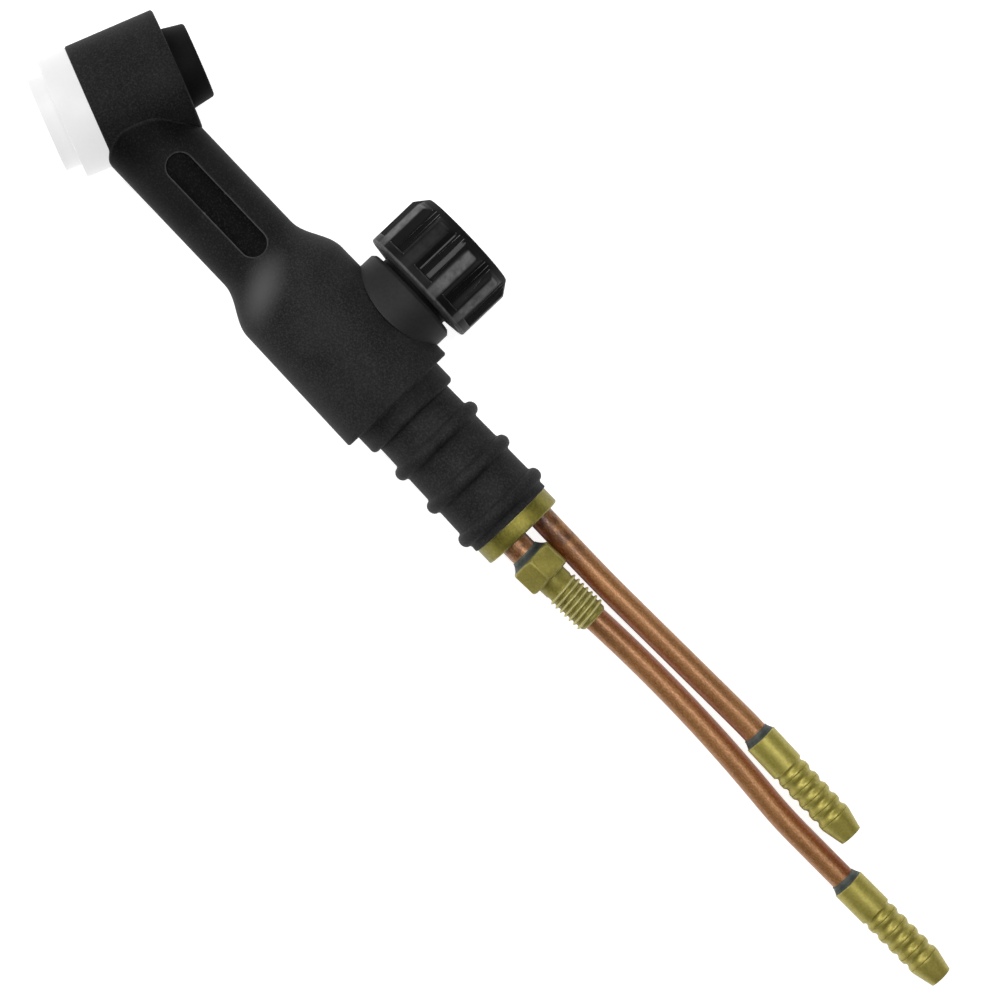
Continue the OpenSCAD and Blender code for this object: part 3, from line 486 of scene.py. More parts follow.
def edit(selection=None):
    """Enter edit mode, and there select all or nothing if asked."""
    bpy.ops.object.mode_set(mode="EDIT")
    if selection:
        bpy.ops.mesh.select_all(action=selection)


def close_mesh():
    """Merge what lies on top of each other, turn all faces outwards and leave edit mode."""
    bpy.ops.mesh.select_all(action="SELECT")
    bpy.ops.mesh.remove_doubles(threshold=0.0015 * MM)
    bpy.ops.mesh.normals_make_consistent(inside=False)
    bpy.ops.object.mode_set(mode="OBJECT")


def turned(name, outline, sides=96, bored=False):
    """Turn an outline of (along, radius) points, in mm, round the Z axis."""
    clear_selection()
    along, radius = outline[0]
    bpy.ops.mesh.primitive_circle_add(vertices=sides, radius=radius * MM, location=(0, 0, along * MM),
                                      fill_type="NOTHING" if bored else "NGON")
    piece = bpy.context.object
    piece.name = piece.data.name = name
    edit()
    for next_along, next_radius in outline[1:] + outline[:1] * bored:
        bpy.ops.mesh.extrude_region_move(
            TRANSFORM_OT_translate={"value": (0, 0, (next_along - along) * MM)})
        size = next_radius / radius
        bpy.ops.transform.resize(value=(size, size, 1), center_override=(0, 0, next_along * MM))
        along, radius = next_along, next_radius
    close_mesh()
    return piece


def only(piece):
    """Make this piece the one that operators act on."""
    clear_selection()
    piece.select_set(True)
    bpy.context.view_layer.objects.active = piece


def move(x, y, z):
    """The matrix of a move in mm."""
    return Matrix.Translation((x * MM, y * MM, z * MM))


def turn(degrees, axis):
    """The matrix of a turn about an axis."""
    return Matrix.Rotation(math.radians(degrees), 4, axis)


def put(piece, where):
    """Move a piece by a matrix and fix its place into its mesh."""
    bpy.context.view_layer.update()
    piece.matrix_world = where @ piece.matrix_world
    only(piece)
    bpy.ops.object.transform_apply(location=True, rotation=True, scale=True)
    return piece


def apply_modifier(piece, kind, **settings):
    """Add a modifier, set it and apply it."""
    modifier = piece.modifiers.new(kind.lower(), kind)
    for key, value in settings.items():
        setattr(modifier, key, value)
    only(piece)
    bpy.ops.object.modifier_apply(modifier=modifier.name)


def combine(piece, other, operation):
    """Join, cut or intersect a piece with another, which is used up."""
    apply_modifier(piece, "BOOLEAN", operation=operation, solver="EXACT", object=other)
    bpy.data.objects.remove(other)


def cut(piece, *others):
    """Cut a piece by others, one after another."""
    for other in others:
        combine(piece, other, "DIFFERENCE")


def soften(piece, width, segments=2, angle=28):
    """Round the sharp edges of a piece by a small bevel, and shade it smooth."""
    apply_modifier(piece, "BEVEL", width=width * MM, segments=segments, limit_method="ANGLE",
                   angle_limit=math.radians(angle), use_clamp_overlap=False)
    shade(piece)


def shade(piece, angle=32):
    """Smooth shading, except over edges that turn by more than the angle."""
    only(piece)
    bpy.ops.object.shade_smooth_by_angle(angle=math.radians(angle))


def copied(piece, name):
    """A copy of a piece with its own mesh."""
    copy = piece.copy()
    copy.data = piece.data.copy()
    copy.name = copy.data.name = name
    scene.collection.objects.link(copy)
    return copy


def dress(piece, material, slot, *nodes, body="valve_body"):
    """Give a finished piece its material, its body and the CAD nodes that it stands for."""
    piece.data.materials.clear()
    piece.data.materials.append(material)
    if body:
        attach(piece, body)
    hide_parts(*nodes)
    print(piece.name, len(piece.data.polygons), "faces, box mm",
          [round(v / MM, 2) for corner in (min, max) for v in
           (corner(vertex.co[axis] for vertex in piece.data.vertices) for axis in range(3))])


HANDLE = turn(90, "Y")
HEAD = turn(70, "Z") @ HANDLE
VALVE_X = 57.978
VALVE = move(VALVE_X, 0, 0) @ turn(-90, "X")
print("axes: handle, head at 70 degrees, valve at x", VALVE_X)

# %% [markdown]
# ## Heat shield
#
# The white insulator in front of the head carries the nozzle. It is a turned ring with a thinner
# nose and barely broken edges. The CAD solid could be bevelled, but a fresh outline has cleaner rings.

# %% Heat shield
HEAD_FRONT = -3.6
heat_shield = turned("heat_shield_white", [
    (HEAD_FRONT, 6.05), (HEAD_FRONT, 10.6), (-8.7, 10.6), (-8.7, 8.3), (-11.5, 8.3), (-11.5, 6.05)],
    sides=128, bored=True)
soften(heat_shield, 0.16)
put(heat_shield, HEAD)
dress(heat_shield, white_ptfe, "white_ptfe", "heat_shield", body="head")

# %% [markdown]
# ## Rubber moulding
#
# Head, neck and housing are one rubber skin moulded over the metal. The neck is made to bend, so the
# skin needs many rings where it bends. It could be sculpted, but its forms are all round: the head is
# one turned piece, the neck with the swelling of the housing is another, and a boolean joins them
# with the crisp seam that the mould leaves. Only the neck's root is not round: its rings are pushed
# out to a rounded block, which fades into the neck. Then the holes and the panel are cut.

# %% Head and neck, joined
HEAD_R = 10.7
HEAD_REAR = 12.15
BORE_R = 6.4
JACKET_R = 8.3
JACKET_START = -2.6
JACKET_END = 11.15
NECK_R = 7.67
NECK_START = 14.578
ROOT_TOP = 8.55
ROOT_CORNER = 6.2
ROOT_FULL = 6.5
HOUSING_FRONT_R = 10.85
HOUSING_REAR_R = 11.15
NECK_END = 35.478
HOUSING_START = 44.478
HOUSING_END = 69.278


def shoulder(step, steps=18):
    """A point of the shoulder, which swells like half a wave."""
    swell = (1 - math.cos(math.pi * step / steps)) / 2
    return (NECK_END + (HOUSING_START - NECK_END) * step / steps,
            NECK_R + (HOUSING_FRONT_R - NECK_R) * swell)


def root_reach(along_y, along_z):
    """How far the rounded block at the neck's root reaches in one direction."""
    side, rise = NECK_R - ROOT_CORNER, ROOT_TOP - ROOT_CORNER
    y, z = abs(along_y), abs(along_z)
    if NECK_R * z <= rise * y:
        return NECK_R / y
    if ROOT_TOP * y <= side * z:
        return ROOT_TOP / z
    ahead = side * y + rise * z
    return ahead + math.sqrt(ROOT_CORNER ** 2 - side ** 2 - rise ** 2 + ahead ** 2)


rubber = turned("rubber", [
    (HEAD_FRONT, BORE_R), (HEAD_FRONT, 10.5), (-3.4, HEAD_R), (11.75, HEAD_R), (11.9, 10.66),
    (12.02, 10.56), (12.1, 10.44), (HEAD_REAR, 10.3), (HEAD_REAR, BORE_R), (JACKET_END, BORE_R),
    (JACKET_END, JACKET_R), (JACKET_START, JACKET_R), (JACKET_START, BORE_R)], sides=128, bored=True)
put(rubber, HEAD)
neck_rings = [(x * 0.5, NECK_R) for x in range(10, 71)]
skin = turned("skin", neck_rings + [shoulder(i) for i in range(19)] + [
    (68.9, HOUSING_REAR_R), (69.08, 11.09), (69.21, 10.96), (HOUSING_END, 10.77)], sides=128)
put(skin, HANDLE)
for corner in skin.data.vertices:
    across = math.hypot(corner.co.y, corner.co.z)
    fade = (NECK_START * MM - corner.co.x) / ((NECK_START - ROOT_FULL) * MM)
    if fade > 0 and across > 0:
        fade = min(fade, 1)
        fade = fade * fade * (3 - 2 * fade)
        grown = NECK_R * (1 - fade) + root_reach(corner.co.y / across, corner.co.z / across) * fade
        corner.co.y *= grown / NECK_R
        corner.co.z *= grown / NECK_R
combine(rubber, skin, "UNION")
print("rubber:", len(rubber.data.polygons), "faces")

# %% [markdown]
# The skin is hollow where metal sits in it: the head's bore, the block's bore in the housing, the
# three tubes along the neck and the seat of the boss. Cutting them keeps the pieces from running
# through each other. The marking panel is a shallow bar with round ends whose floor follows the
# round of the neck, so its cutter is a slab that is itself cut by a slightly thinner neck.

# %% Hollows and marking panel
NECK_TUBES = {"gas": (1.2, 0, 3.2), "water": (-2.2, -2.9, 4.0), "power": (-2.2, 2.9, 4.0)}
PANEL_X = 25.43
PANEL_LENGTH = 17.3
PANEL_DEPTH = 0.35
BLOCK_START = 47.478
BOSS_R = 9.15
BOSS_FOOT = 7.2
BLOCK_COVER_R = 8.4
FOOT_R = 15
FOOT = move(VALVE_X, 22.5, 0)


def rod(name, radius, low, high_end, where=HANDLE, rings=1, sides=32):
    """A plain round bar along an axis, with as many rings as asked."""
    steps = [(low + (high_end - low) * i / rings, radius) for i in range(rings + 1)]
    return put(turned(name, steps, sides=sides), where)


def drill(piece, tubes, low, high_end, rings=1):
    """Cut the holes of the three tubes through a piece."""
    for tube, (y, z, diameter) in tubes.items():
        hole = rod(tube, diameter / 2, low, high_end, rings=rings)
        cut(piece, put(hole, move(0, y, z)))


def cut_foot(piece):
    """Cut the boss, or the room for it, to its seat over the valve block and to its curved foot."""
    cut(piece, rod("cover", BLOCK_COVER_R, VALVE_X - 12, VALVE_X + 12, sides=128))
    combine(piece, rod("foot", FOOT_R, -12, 12, FOOT, sides=256), "INTERSECT")


cut(rubber, rod("bore", BORE_R, -14, 16, HEAD, sides=96))
cut(rubber, rod("jacket_room", JACKET_R, JACKET_START, JACKET_END, HEAD, sides=96))
drill(rubber, NECK_TUBES, 5, BLOCK_START + 1, rings=80)
cut(rubber, rod("block_room", 8, BLOCK_START, HOUSING_END + 1, sides=96))
cut(rubber, rod("bonnet_room", 5, 0, BOSS_FOOT + 3, VALVE, sides=64))
boss_room = rod("boss_room", BOSS_R, BOSS_FOOT, 20, VALVE, sides=128)
cut_foot(boss_room)
cut(rubber, boss_room)

clear_selection()
bpy.ops.mesh.primitive_cylinder_add(vertices=48, radius=PANEL_R * MM, depth=8 * MM,
                                    location=(PANEL_X * MM, PANEL_Y * MM, 8 * MM))
panel = bpy.context.object
bpy.ops.object.transform_apply(location=True, rotation=True, scale=True)
for corner in panel.data.vertices:
    corner.co.x += math.copysign(PANEL_LENGTH / 2 * MM, corner.co.x - PANEL_X * MM)
cut(panel, rod("panel_floor", NECK_R - PANEL_DEPTH, 0, 60, sides=128))
cut(rubber, panel)
print("rubber after cutting:", len(rubber.data.polygons), "faces")

# %% [markdown]
# The neck bends about two centres, so the skin is split in the middle of the neck, where it only
# follows the neck. Bisect cuts and closes each half, and the halves meet face to face. Each half
# keeps the places of its points at rest in an attribute, which its finish reads.


def half_of(piece, name, front):
    """A copy of a piece, cut at the middle of the neck and closed there."""
    half = copied(piece, name)
    only(half)
    edit("SELECT")
    bpy.ops.mesh.bisect(plane_co=(SEAM_X * MM, 0, 0), plane_no=(1, 0, 0), use_fill=True,
                        clear_outer=front, clear_inner=not front)
    close_mesh()
    shade(half, 26)
    rest = half.data.attributes.new("rest", "FLOAT_VECTOR", "POINT")
    rest.data.foreach_set("vector", [c for point in half.data.vertices for c in point.co])
    return half


rubber_front = half_of(rubber, "rubber_head_and_neck", True)
rubber_rear = half_of(rubber, "rubber_neck_and_housing", False)
bpy.data.objects.remove(rubber)
dress(rubber_front, head_rubber, "black_rubber", "head_shell", "neck_sleeve", body=None)
dress(rubber_rear, body_rubber, "black_rubber", "valve_housing", "neck_sleeve", body=None)
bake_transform(rubber_front)
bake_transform(rubber_rear)

# %% [markdown]
# ## Tubes in the neck
#
# Three copper tubes run inside the neck. They are hidden, but the model is used with its parts taken
# off, so they are real tubes. Each is made as two bored halves, split where the skin is, with a ring
# every millimetre.

# %% Neck tubes
WALL = 0.6
TUBE_STARTS = {"gas": 5.5, "water": 7.2, "power": 7.2}
TUBE_END = 51.478

for tube, (y, z, diameter) in NECK_TUBES.items():
    outer = diameter / 2
    inner = outer - WALL
    shift = move(0, y, z) @ HANDLE
    for label, first, last in (("front", TUBE_STARTS[tube], SEAM_X), ("rear", SEAM_X, TUBE_END)):
        rings = round(last - first)
        places = [first + (last - first) * i / rings for i in range(rings + 1)]
        piece = turned(f"neck_{tube}_tube_{label}",
                       [(x, outer) for x in places] + [(x, inner) for x in reversed(places)],
                       sides=28, bored=True)
        shade(put(piece, shift))
        dress(piece, old_copper, "copper", f"neck_{tube}_tube", body=None)
        if label == "front":
            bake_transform(piece)
        else:
            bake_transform(piece)

# %% [markdown]
# ## Rear collar
#
# The hard collar behind the head seals the back cap. It is turned like the heat shield, tapers a
# little and has a well rounded rear edge.

# %% Rear collar
rear_collar = turned("rear_collar_black", [
    (HEAD_REAR, 5.6), (HEAD_REAR, 7.15), (15.72, 6.56), (15.92, 6.44), (16.05, 6.26), (16.1, 6.05),
    (16.1, 5.6)], sides=128, bored=True)
soften(rear_collar, 0.08)
put(rear_collar, HEAD)
dress(rear_collar, collar_black, "black_plastic", "rear_collar", body="head")

# %% [markdown]
# ## Valve boss and gland nut
#
# A smooth grey boss rises from the housing, and on it sits the gland nut that holds the stem. The
# knob turns above it with a narrow gap. Both are turned. The boss straddles the valve block in its
# seat in the rubber, and its foot is cut to an arc, so that the seam is one smooth curve.

# %% Boss and gland nut
BOSS_TOP = 14.013
GLAND_TOP = 17.013
boss = turned("boss_grey", [
    (BOSS_FOOT, 5.05), (BOSS_FOOT, BOSS_R), (BOSS_TOP - 0.6, BOSS_R), (BOSS_TOP, BOSS_R - 0.6),
    (BOSS_TOP, 3.65), (12.8, 3.65), (12.8, 5.05)], sides=128, bored=True)
soften(boss, 0.12)
put(boss, VALVE)
cut_foot(boss)
shade(boss)
dress(boss, boss_grey, "grey_black_plastic", "valve_boss")
gland = turned("gland_nut_black", [
    (9.8, 2.55), (9.8, 3.6), (BOSS_TOP, 3.6), (BOSS_TOP, 7.1), (GLAND_TOP, 7.1), (GLAND_TOP, 2.55)],
    sides=96, bored=True)
soften(gland, 0.15)
put(gland, VALVE)
dress(gland, collar_black, "black_plastic", "gland_nut")

# %% [markdown]
# ## Knob
#
# The knob has a plain flange at the bottom, ten squared flutes and a bevelled top. Fingers rub its
# lands pale while the flutes stay black, and one land is less rubbed, so its material needs to know
# how far a point is from the valve's axis, how high, and on which side. The lower rim of the flange
# gets a painted highlight, patchy like the wear, and two long painted highlights lie in the floor of
# one flute, on its top side. The body is turned, one flute cutter is shaped from a cube and copied
# round, and a small bevel softens every edge.

# %% Knob finish
FLUTES = 10
LAND_ANGLE = 13
DULL_LAND = math.radians(-23)


def paint(tree, label, factor, value, kind="FLOAT"):
    """Lay a value over what a socket of the shader gets already."""
    socket = tree.nodes["Principled BSDF"].inputs[label]
    tree.links.new(wire_mix(factor, socket.links[0].from_socket, value, kind), socket)


knob_black = finish("knob_black", rgb(7, 7, 8), rgb(17, 17, 18), rgb(130, 130, 130),
                    rough=(0.42, 0.56), specular=0.14, grain=(1700, 320), speck=0.5, reach=0.4,
                    gain=1.9, patchy=0.6, bump=0.012)
tree = knob_black.node_tree
place = wire("TexCoord", tree=tree, out="Object")
from_axis = wire("VectorMath", place, (1, 0, 1), (-VALVE_X * MM, 0, 0), operation="MULTIPLY_ADD")
away = vector_length(from_axis)
across, height, front = (along_axis(place, axis) for axis in "XYZ")
angle = wire("Math", along_axis(from_axis, "X"), along_axis(from_axis, "Z"), operation="ARCTAN2")
waves = wire("Math", angle, FLUTES, -FLUTES * math.radians(LAND_ANGLE), operation="MULTIPLY_ADD")
on_land = wire("Math", waves, operation="COSINE")
middle = wire("MapRange", on_land, 0.4, 0.85, interpolation_type="SMOOTHSTEP")
dull_side = wire("VectorMath", from_axis, (math.sin(DULL_LAND), 0, math.cos(DULL_LAND)),
                 operation="DOT_PRODUCT", out="Value")
scuffed = wire("MapRange", noise(place, 900, 6), 0.3, 0.62, 0.5)
rubbed = scuffed
for mask in (fade_between(away, 10.4, 10.75), middle,
             wire_mix(fade_between(dull_side, 10.3, 10.7), 1.0, 0.1),
             wire_mix(fade_between(height, 16.2, 17.3), 0.6, 1.0)):
    rubbed = multiply(rubbed, mask)
paint(tree, "Base Color", rubbed, rgb(112, 112, 113), "RGBA")
paint(tree, "Roughness", rubbed, 0.6)
# Painted highlights: two long bright bands in the floor of the flute on the top side.
painted_flute_highlights = 0.0
for low, top, strength in ((57.5, 58.35, 0.7), (55.95, 56.2, 1.0)):
    near, far = (fade_between(across, x, x + 0.12) for x in (low, top))
    painted_flute_highlights = wire_mix(wire_mix(far, near, 0.0), painted_flute_highlights, strength)
for value, low, top in ((height, 17.1, 17.4), (height, 25.6, 24.9), (front, 7, 9)):
    painted_flute_highlights = wire_mix(fade_between(value, low, top), 0.0, painted_flute_highlights)
# The lower rim of the flange gets a painted highlight, made patchy by the wear noise.
lower_rim = wire_mix(fade_between(height, 15.8, 15.5), 0.0, scuffed)
paint(tree, "Base Color", wire_mix(lower_rim, painted_flute_highlights, 1.0), rgb(96, 96, 97), "RGBA")
paint(tree, "Roughness", fade_between(away, 10.2, 9.95), 0.75)
print("knob finish reads the distance from the valve axis")

# %% Knob body
KNOB_R = 10.9
KNOB_BOTTOM = 14.813
KNOB_TOP = 26.913
HOLLOW_TOP = 18.013
FLUTE_BOTTOM = 17.013
FLUTE_MIDDLE = 23
FLUTE_FLOOR = 1.6
FLUTE_MOUTH = 6.5
KNOB_TURN = 12.96

knob = turned("knob_black", [
    (24.013, 4), (HOLLOW_TOP, 4), (HOLLOW_TOP, 7.5), (KNOB_BOTTOM, 7.5), (15.213, 10.7),
    (15.413, KNOB_R), (FLUTE_BOTTOM - 0.4, KNOB_R), (24.613, KNOB_R), (KNOB_TOP, 9.2), (KNOB_TOP, 6)],
    sides=100)

clear_selection()
bpy.ops.mesh.primitive_cube_add(size=1, location=(10.65 * MM, 0, FLUTE_MIDDLE * MM))
cutter = bpy.context.object
bpy.ops.transform.resize(value=(1.5 * MM, FLUTE_FLOOR * MM, 2 * (FLUTE_MIDDLE - FLUTE_BOTTOM) * MM))
bpy.ops.object.transform_apply(location=True, rotation=True, scale=True)
edit("DESELECT")
bpy.ops.mesh.select_mode(type="VERT")
bpy.ops.object.mode_set(mode="OBJECT")
for corner in cutter.data.vertices:
    corner.select = corner.co.x > 11 * MM
edit()
bpy.ops.transform.resize(value=(1, FLUTE_MOUTH / FLUTE_FLOOR, 1), center_override=(0, 0, 0))
bpy.ops.mesh.select_all(action="INVERT")
bpy.ops.mesh.bevel(offset=0.3 * MM, segments=3, affect="EDGES")
close_mesh()
for i in range(FLUTES):
    cut(knob, put(copied(cutter, "flute"), turn(360 / FLUTES * i, "Z")))
bpy.data.objects.remove(cutter)
soften(knob, 0.13)
put(knob, VALVE @ turn(KNOB_TURN, "Z"))
dress(knob, knob_black, "knob_plastic", "valve_knob", body="knob")

# %% [markdown]
# ## Handle spigot
#
# The handle's tube is pushed over this rubber spigot: it stops at the housing and is gripped by the
# step and by three bulging rings. The outline is drawn with each ring as part of a circle that runs
# softly into the cone, and the holes for the three tubes are cut.

# %% Spigot outline
STEP_END = 73.178
STEP_R = 9.0
SPIGOT_END = 96.578
CONE_START_R, CONE_END_R = 7.65, 7.9
RIBS = (78.628, 86.278, 93.928)
REAR_TUBES = {"gas": (3.9, 0, 4.33), "water": (-2.4, -3.5, 4.33), "power": (-2.4, 3.3, 5.0)}


def cone_r(x):
    """Radius of the spigot between its ribs."""
    way = (x - STEP_END) / (SPIGOT_END - STEP_END)
    return CONE_START_R + (CONE_END_R - CONE_START_R) * way


def rib(x, width=1.3, crest=9.0, pieces=12):
    """The outline of one ring: a half round with a soft foot at either side."""
    foot = cone_r(x)
    arch = [(x - width * math.cos(math.pi * i / pieces),
             foot + (crest - foot) * math.sin(math.pi * i / pieces)) for i in range(1, pieces)]
    return [(x - width - 0.25, foot), (x - width + 0.02, foot + 0.14)] + arch[1:-1] + [
        (x + width - 0.02, foot + 0.14), (x + width + 0.25, foot)]


outline = [(HOUSING_END, STEP_R), (72.4, STEP_R), (72.7, 8.94), (72.95, 8.76), (73.12, 8.5),
           (STEP_END, 8.2), (STEP_END, CONE_START_R)]
for x in RIBS:
    outline += rib(x)
outline += [(SPIGOT_END - 0.1, CONE_END_R), (SPIGOT_END, CONE_END_R - 0.1)]
spigot = put(turned("ribbed_spigot", outline, sides=128), HANDLE)
drill(spigot, REAR_TUBES, HOUSING_END - 1, SPIGOT_END + 1)
shade(spigot, 30)
dress(spigot, spigot_black, "black_rubber", "handle_spigot")

# %% [markdown]
# ## End ring and potting
#
# A brass ring closes the rear end and keeps the potting in, a resin that is poured round the tubes.
# The ring is a turned band with broken edges. The resin creeps a little up the tubes and the wall as
# it sets, so its face is made as a disc with a raised rim.

# %% End ring and potting
RING_END = 99.678
RING_R = 7.575
RING_BORE_R = 6.825
ring = turned("end_ring_brass", [
    (SPIGOT_END, RING_BORE_R), (SPIGOT_END, RING_R), (RING_END - 0.2, RING_R),
    (RING_END, RING_R - 0.2), (RING_END, RING_BORE_R)], sides=128, bored=True)
soften(ring, 0.1)
put(ring, HANDLE)
dress(ring, ring_brass, "brass", "end_ring")

potting = put(turned("potting_resin", [
    (SPIGOT_END, 6.82), (99.25, 6.82), (98.95, 6.6), (98.85, 6.2), (98.82, 5.6), (98.82, 4.4),
    (98.82, 2.5)], sides=96), HANDLE)
drill(potting, REAR_TUBES, SPIGOT_END - 1, RING_END + 1)
shade(potting, 40)
dress(potting, resin_black, "dark_resin", "end_potting")

# %% [markdown]
# ## Copper tubes
#
# The gas tube and the water tube run back to their hose barbs in long, slightly uneven bows, as tube
# does that is bent by hand. A route is a list of steps: a straight length, a turn, its radius and
# the side it turns to. To make the tube, its end ring is extruded along the straights and spun round
# the centres of the bends (spin counts a left turn as negative), and a solidify modifier gives it
# its wall.

# %% Routes
UP, DOWN, BACK, FRONT = 0, 180, -90, 90
TUBE_START = 65.278
ROUTES = {
    "gas": [(44.7, 1.9, 290, UP), (26.956, 2.5, 90, DOWN), (1.5, 0, 1, UP)],
    "water": [(34.7, 4.4, 45, UP), (0, 5, 45, BACK), (6, 5, 45, FRONT), (0, 8.5, 290, DOWN),
              (0, 5.4, 90, UP), (11.686, 0, 1, UP)],
    "power": [(34.7, 3, 45, UP), (1.044, 0, 1, UP)]}


def route_frame(tube, steps=None):
    """Place and direction of a tube after some steps of its route, as a matrix whose X leads on."""
    y, z, _ = REAR_TUBES[tube]
    frame_now = move(TUBE_START, y, z)
    for ahead, angle, radius, side in ROUTES[tube][:steps]:
        bend = move(0, radius, 0) @ turn(angle, "Z") @ move(0, -radius, 0)
        frame_now = frame_now @ move(ahead, 0, 0) @ turn(side, "X") @ bend @ turn(-side, "X")
    return frame_now


def extrude(here, ahead):
    """Extrude what is selected straight on, in mm."""
    way = here.to_3x3() @ Vector((ahead * MM, 0, 0))
    bpy.ops.mesh.extrude_region_move(TRANSFORM_OT_translate={"value": way})


def bent_tube(name, tube, last, inner_side):
    """A tube along its route, with its wall, that runs straight on for a last length. Its facing
    attribute tells the finish which side is turned to the other tube."""
    diameter = REAR_TUBES[tube][2]
    clear_selection()
    bpy.ops.mesh.primitive_circle_add(vertices=40, radius=diameter / 2 * MM)
    piece = bpy.context.object
    piece.name = piece.data.name = name
    put(piece, route_frame(tube, 0) @ HANDLE)
    edit()
    for index, (ahead, angle, radius, side) in enumerate(ROUTES[tube]):
        here = route_frame(tube, index)
        if ahead:
            extrude(here, ahead)
        if angle:
            swing = here @ move(ahead, 0, 0) @ turn(side, "X")
            bpy.ops.mesh.spin(steps=max(3, round(angle * 3)), angle=-math.radians(angle),
                              center=swing @ Vector((0, radius * MM, 0)),
                              axis=swing.to_3x3() @ Vector((0, 0, 1)))
    extrude(route_frame(tube), last)
    close_mesh()
    apply_modifier(piece, "SOLIDIFY", thickness=WALL * MM, offset=-1)
    shade(piece)
    facing = piece.data.attributes.new("facing", "FLOAT", "POINT")
    for point, value in zip(piece.data.vertices, facing.data):
        value.value = inner_side * point.normal.y
    return piece


for tube in ROUTES:
    print(tube, "ends at", [round(v / MM, 2) for v in route_frame(tube).translation])

# %% Tubes
BARB_SOCKET = 5
HEX_SOCKET = 3.7
for tube, node, socket, inner_side in (
        ("gas", "gas_tube", BARB_SOCKET, -1), ("water", "water_tube", BARB_SOCKET, 1),
        ("power", "power_stub", HEX_SOCKET, 0)):
    pipe = bent_tube(f"{tube}_pipe", tube, socket, inner_side)
    dress(pipe, old_copper, "copper", node)

# %% [markdown]
# ## Hose barbs
#
# A barb is turned from brass: a plain collar that takes the tube, small ridges that grip the hose,
# and a pointed end that opens it. The ridges are rounded by use, and a fine turned line runs round
# each crest. The bevels are tiny, so a weighted normal modifier keeps the turned bands flat. Both
# barbs are the same, so one is modelled and copied with its own mesh.

# %% Barbs
BARB_R = 2.95
VALLEY_R = 2.56
BARB_BORE_R = 1.3
BARB_END = 22.31
COLLAR = 6.45
PITCH = 2.44
RIDGES = 5
tube_r = REAR_TUBES["gas"][2] / 2
barb_outline = [(0, BARB_R - 0.12), (0.12, BARB_R), (COLLAR + 0.12, BARB_R)]
for i in range(RIDGES):
    foot = COLLAR + PITCH * i
    barb_outline += [(foot + 0.48, VALLEY_R), (foot + 0.82, VALLEY_R), (foot + 1.36, BARB_R - 0.05),
                     (foot + 1.72, BARB_R), (foot + 1.8, BARB_R - 0.13), (foot + 1.88, BARB_R),
                     (foot + 2.4, BARB_R - 0.05)]
barb_outline += [(BARB_END, 2.05), (BARB_END, BARB_BORE_R), (BARB_SOCKET, BARB_BORE_R),
                 (BARB_SOCKET, tube_r), (0, tube_r)]
barb = turned("barb", barb_outline, sides=72, bored=True)
soften(barb, 0.04, angle=24)
apply_modifier(barb, "WEIGHTED_NORMAL", keep_sharp=True)
put(barb, HANDLE)
for tube in ("gas", "water"):
    copy = copied(barb, f"{tube}_barb_brass")
    put(copy, route_frame(tube))
    dress(copy, dull_brass, "brass", f"{tube}_barb")
bpy.data.objects.remove(barb)

# %% [markdown]
# ## Solder
#
# Where a tube enters its fitting, silver solder has run round the joint and set in a rough grey
# fillet. It is turned as a hollow curve and then made uneven by a displace modifier, because solder
# is never quite even.

# %% Solder fillets
lumps = bpy.data.textures.new("solder_lumps", "CLOUDS")
lumps.noise_scale = 1.6 * MM


def fillet(tube, fitting_r, length=1.3, steps=8):
    """A lumpy ring of solder between a tube and its fitting."""
    tube_r = REAR_TUBES[tube][2] / 2
    foot_r = tube_r + 0.15
    curve = [(-length + length * i / steps, foot_r + (fitting_r - foot_r) * (i / steps) ** 1.5)
             for i in range(steps + 1)]
    curve += [(0, tube_r), (-length, tube_r)]
    piece = turned(f"{tube}_solder_grey", curve, sides=72, bored=True)
    put(piece, route_frame(tube) @ HANDLE)
    apply_modifier(piece, "DISPLACE", texture=lumps, strength=0.16 * MM, mid_level=0.62,
                   texture_coords="LOCAL")
    shade(piece, 50)
    return piece


for tube, fitting_r in (("gas", 2.8), ("water", 2.8), ("power", 3.6)):
    dress(fillet(tube, fitting_r), grey_solder, "solder", f"{tube}_solder")

# %% [markdown]
# ## Power connector
#
# The power cable screws onto this fitting. Its hexagon is turned off at the corners, so that each
# corner ends in a small curve: a six-sided bar is intersected with a round blank whose edges are
# bevelled. The thread is a real helix: one tooth is drawn and a screw modifier winds it on the core.

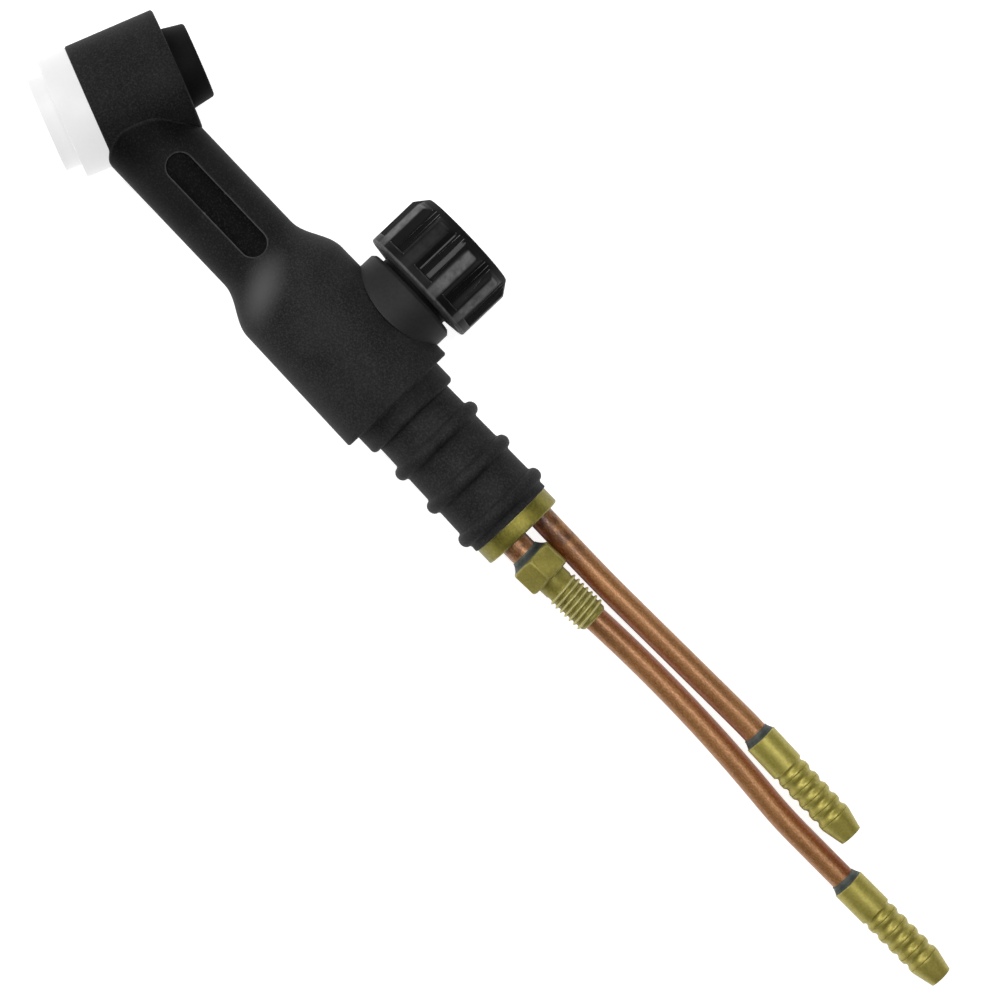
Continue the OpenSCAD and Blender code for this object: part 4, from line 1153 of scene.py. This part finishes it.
# %% Connector
HEX_R = 7.6 / 2 / math.cos(math.radians(30))
HEX_END = 4.8
HEX_TURN = 38
CORE_R = 2.66
THREAD_START = 6.8
THREAD_END = 14.8
connector = put(turned("power_connector_brass", [(0, HEX_R), (HEX_END, HEX_R)], sides=6),
                turn(HEX_TURN, "Z"))
blank = turned("blank", [(0, HEX_R - 0.75), (0.42, HEX_R + 0.02), (HEX_END - 0.42, HEX_R + 0.02),
                         (HEX_END, HEX_R - 0.75)], sides=96)
soften(connector, 0.25)
combine(connector, blank, "INTERSECT")
shank = turned("shank", [(2, 2.8), (THREAD_START - 0.3, 2.8), (THREAD_START, CORE_R),
                         (THREAD_END - 0.4, CORE_R), (THREAD_END, 2.3)], sides=64)
combine(connector, shank, "UNION")

clear_selection()
bpy.ops.mesh.primitive_plane_add(size=1)
tooth = bpy.context.object
for corner in tooth.data.vertices:
    radius, half_width = (3.15, 0.09) if corner.co.x > 0 else (2.55, 0.36)
    along = math.copysign(half_width, corner.co.y)
    corner.co = (radius * MM, 0, (THREAD_START + 0.3 + along) * MM)
edit("SELECT")
bpy.ops.mesh.delete(type="ONLY_FACE")
bpy.ops.object.mode_set(mode="OBJECT")
apply_modifier(tooth, "SCREW", axis="Z", angle=math.radians(360), screw_offset=1.0 * MM, iterations=7,
               steps=48, render_steps=48)
only(tooth)
edit("DESELECT")
bpy.ops.mesh.select_non_manifold()
bpy.ops.mesh.edge_face_add()
close_mesh()
combine(connector, tooth, "UNION")
cut(connector, turned("stub_room", [(-1, 2.5), (HEX_SOCKET, 2.5)], sides=64),
    turned("way", [(1, 1.9), (20, 1.9)], sides=64))
soften(connector, 0.05, segments=1, angle=35)
put(connector, route_frame("power") @ HANDLE)
dress(connector, fitting_brass, "brass", "power_connector")

# %% [markdown]
# ## Parts inside
#
# The torch body, the water jacket, the valve block, the stem and its seals are right as they come
# from the CAD, and only need finishes, which are given to the CAD meshes' own slots.

# %% Finishes of the carried-over parts
seal_rubber = finish("seal_rubber", rgb(20, 20, 20), rgb(28, 28, 28), rgb(50, 50, 50),
                     rough=(0.4, 0.55), specular=0.4, grain=(2600, 400), bump=0.006)
inside = {"torch_body": old_copper, "water_jacket": old_copper, "valve_block": dull_brass,
          "valve_seat": white_ptfe, "stem_packing": white_ptfe, "stem_o_ring": seal_rubber,
          "valve_stem": dull_brass, "knob_insert": dull_brass}
for node, material in inside.items():
    node_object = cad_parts[node]
    if not node_object.material_slots:
        node_object.data.materials.append(material)
    for place in node_object.material_slots:
        place.material = material
print("carried over:", sorted(inside))
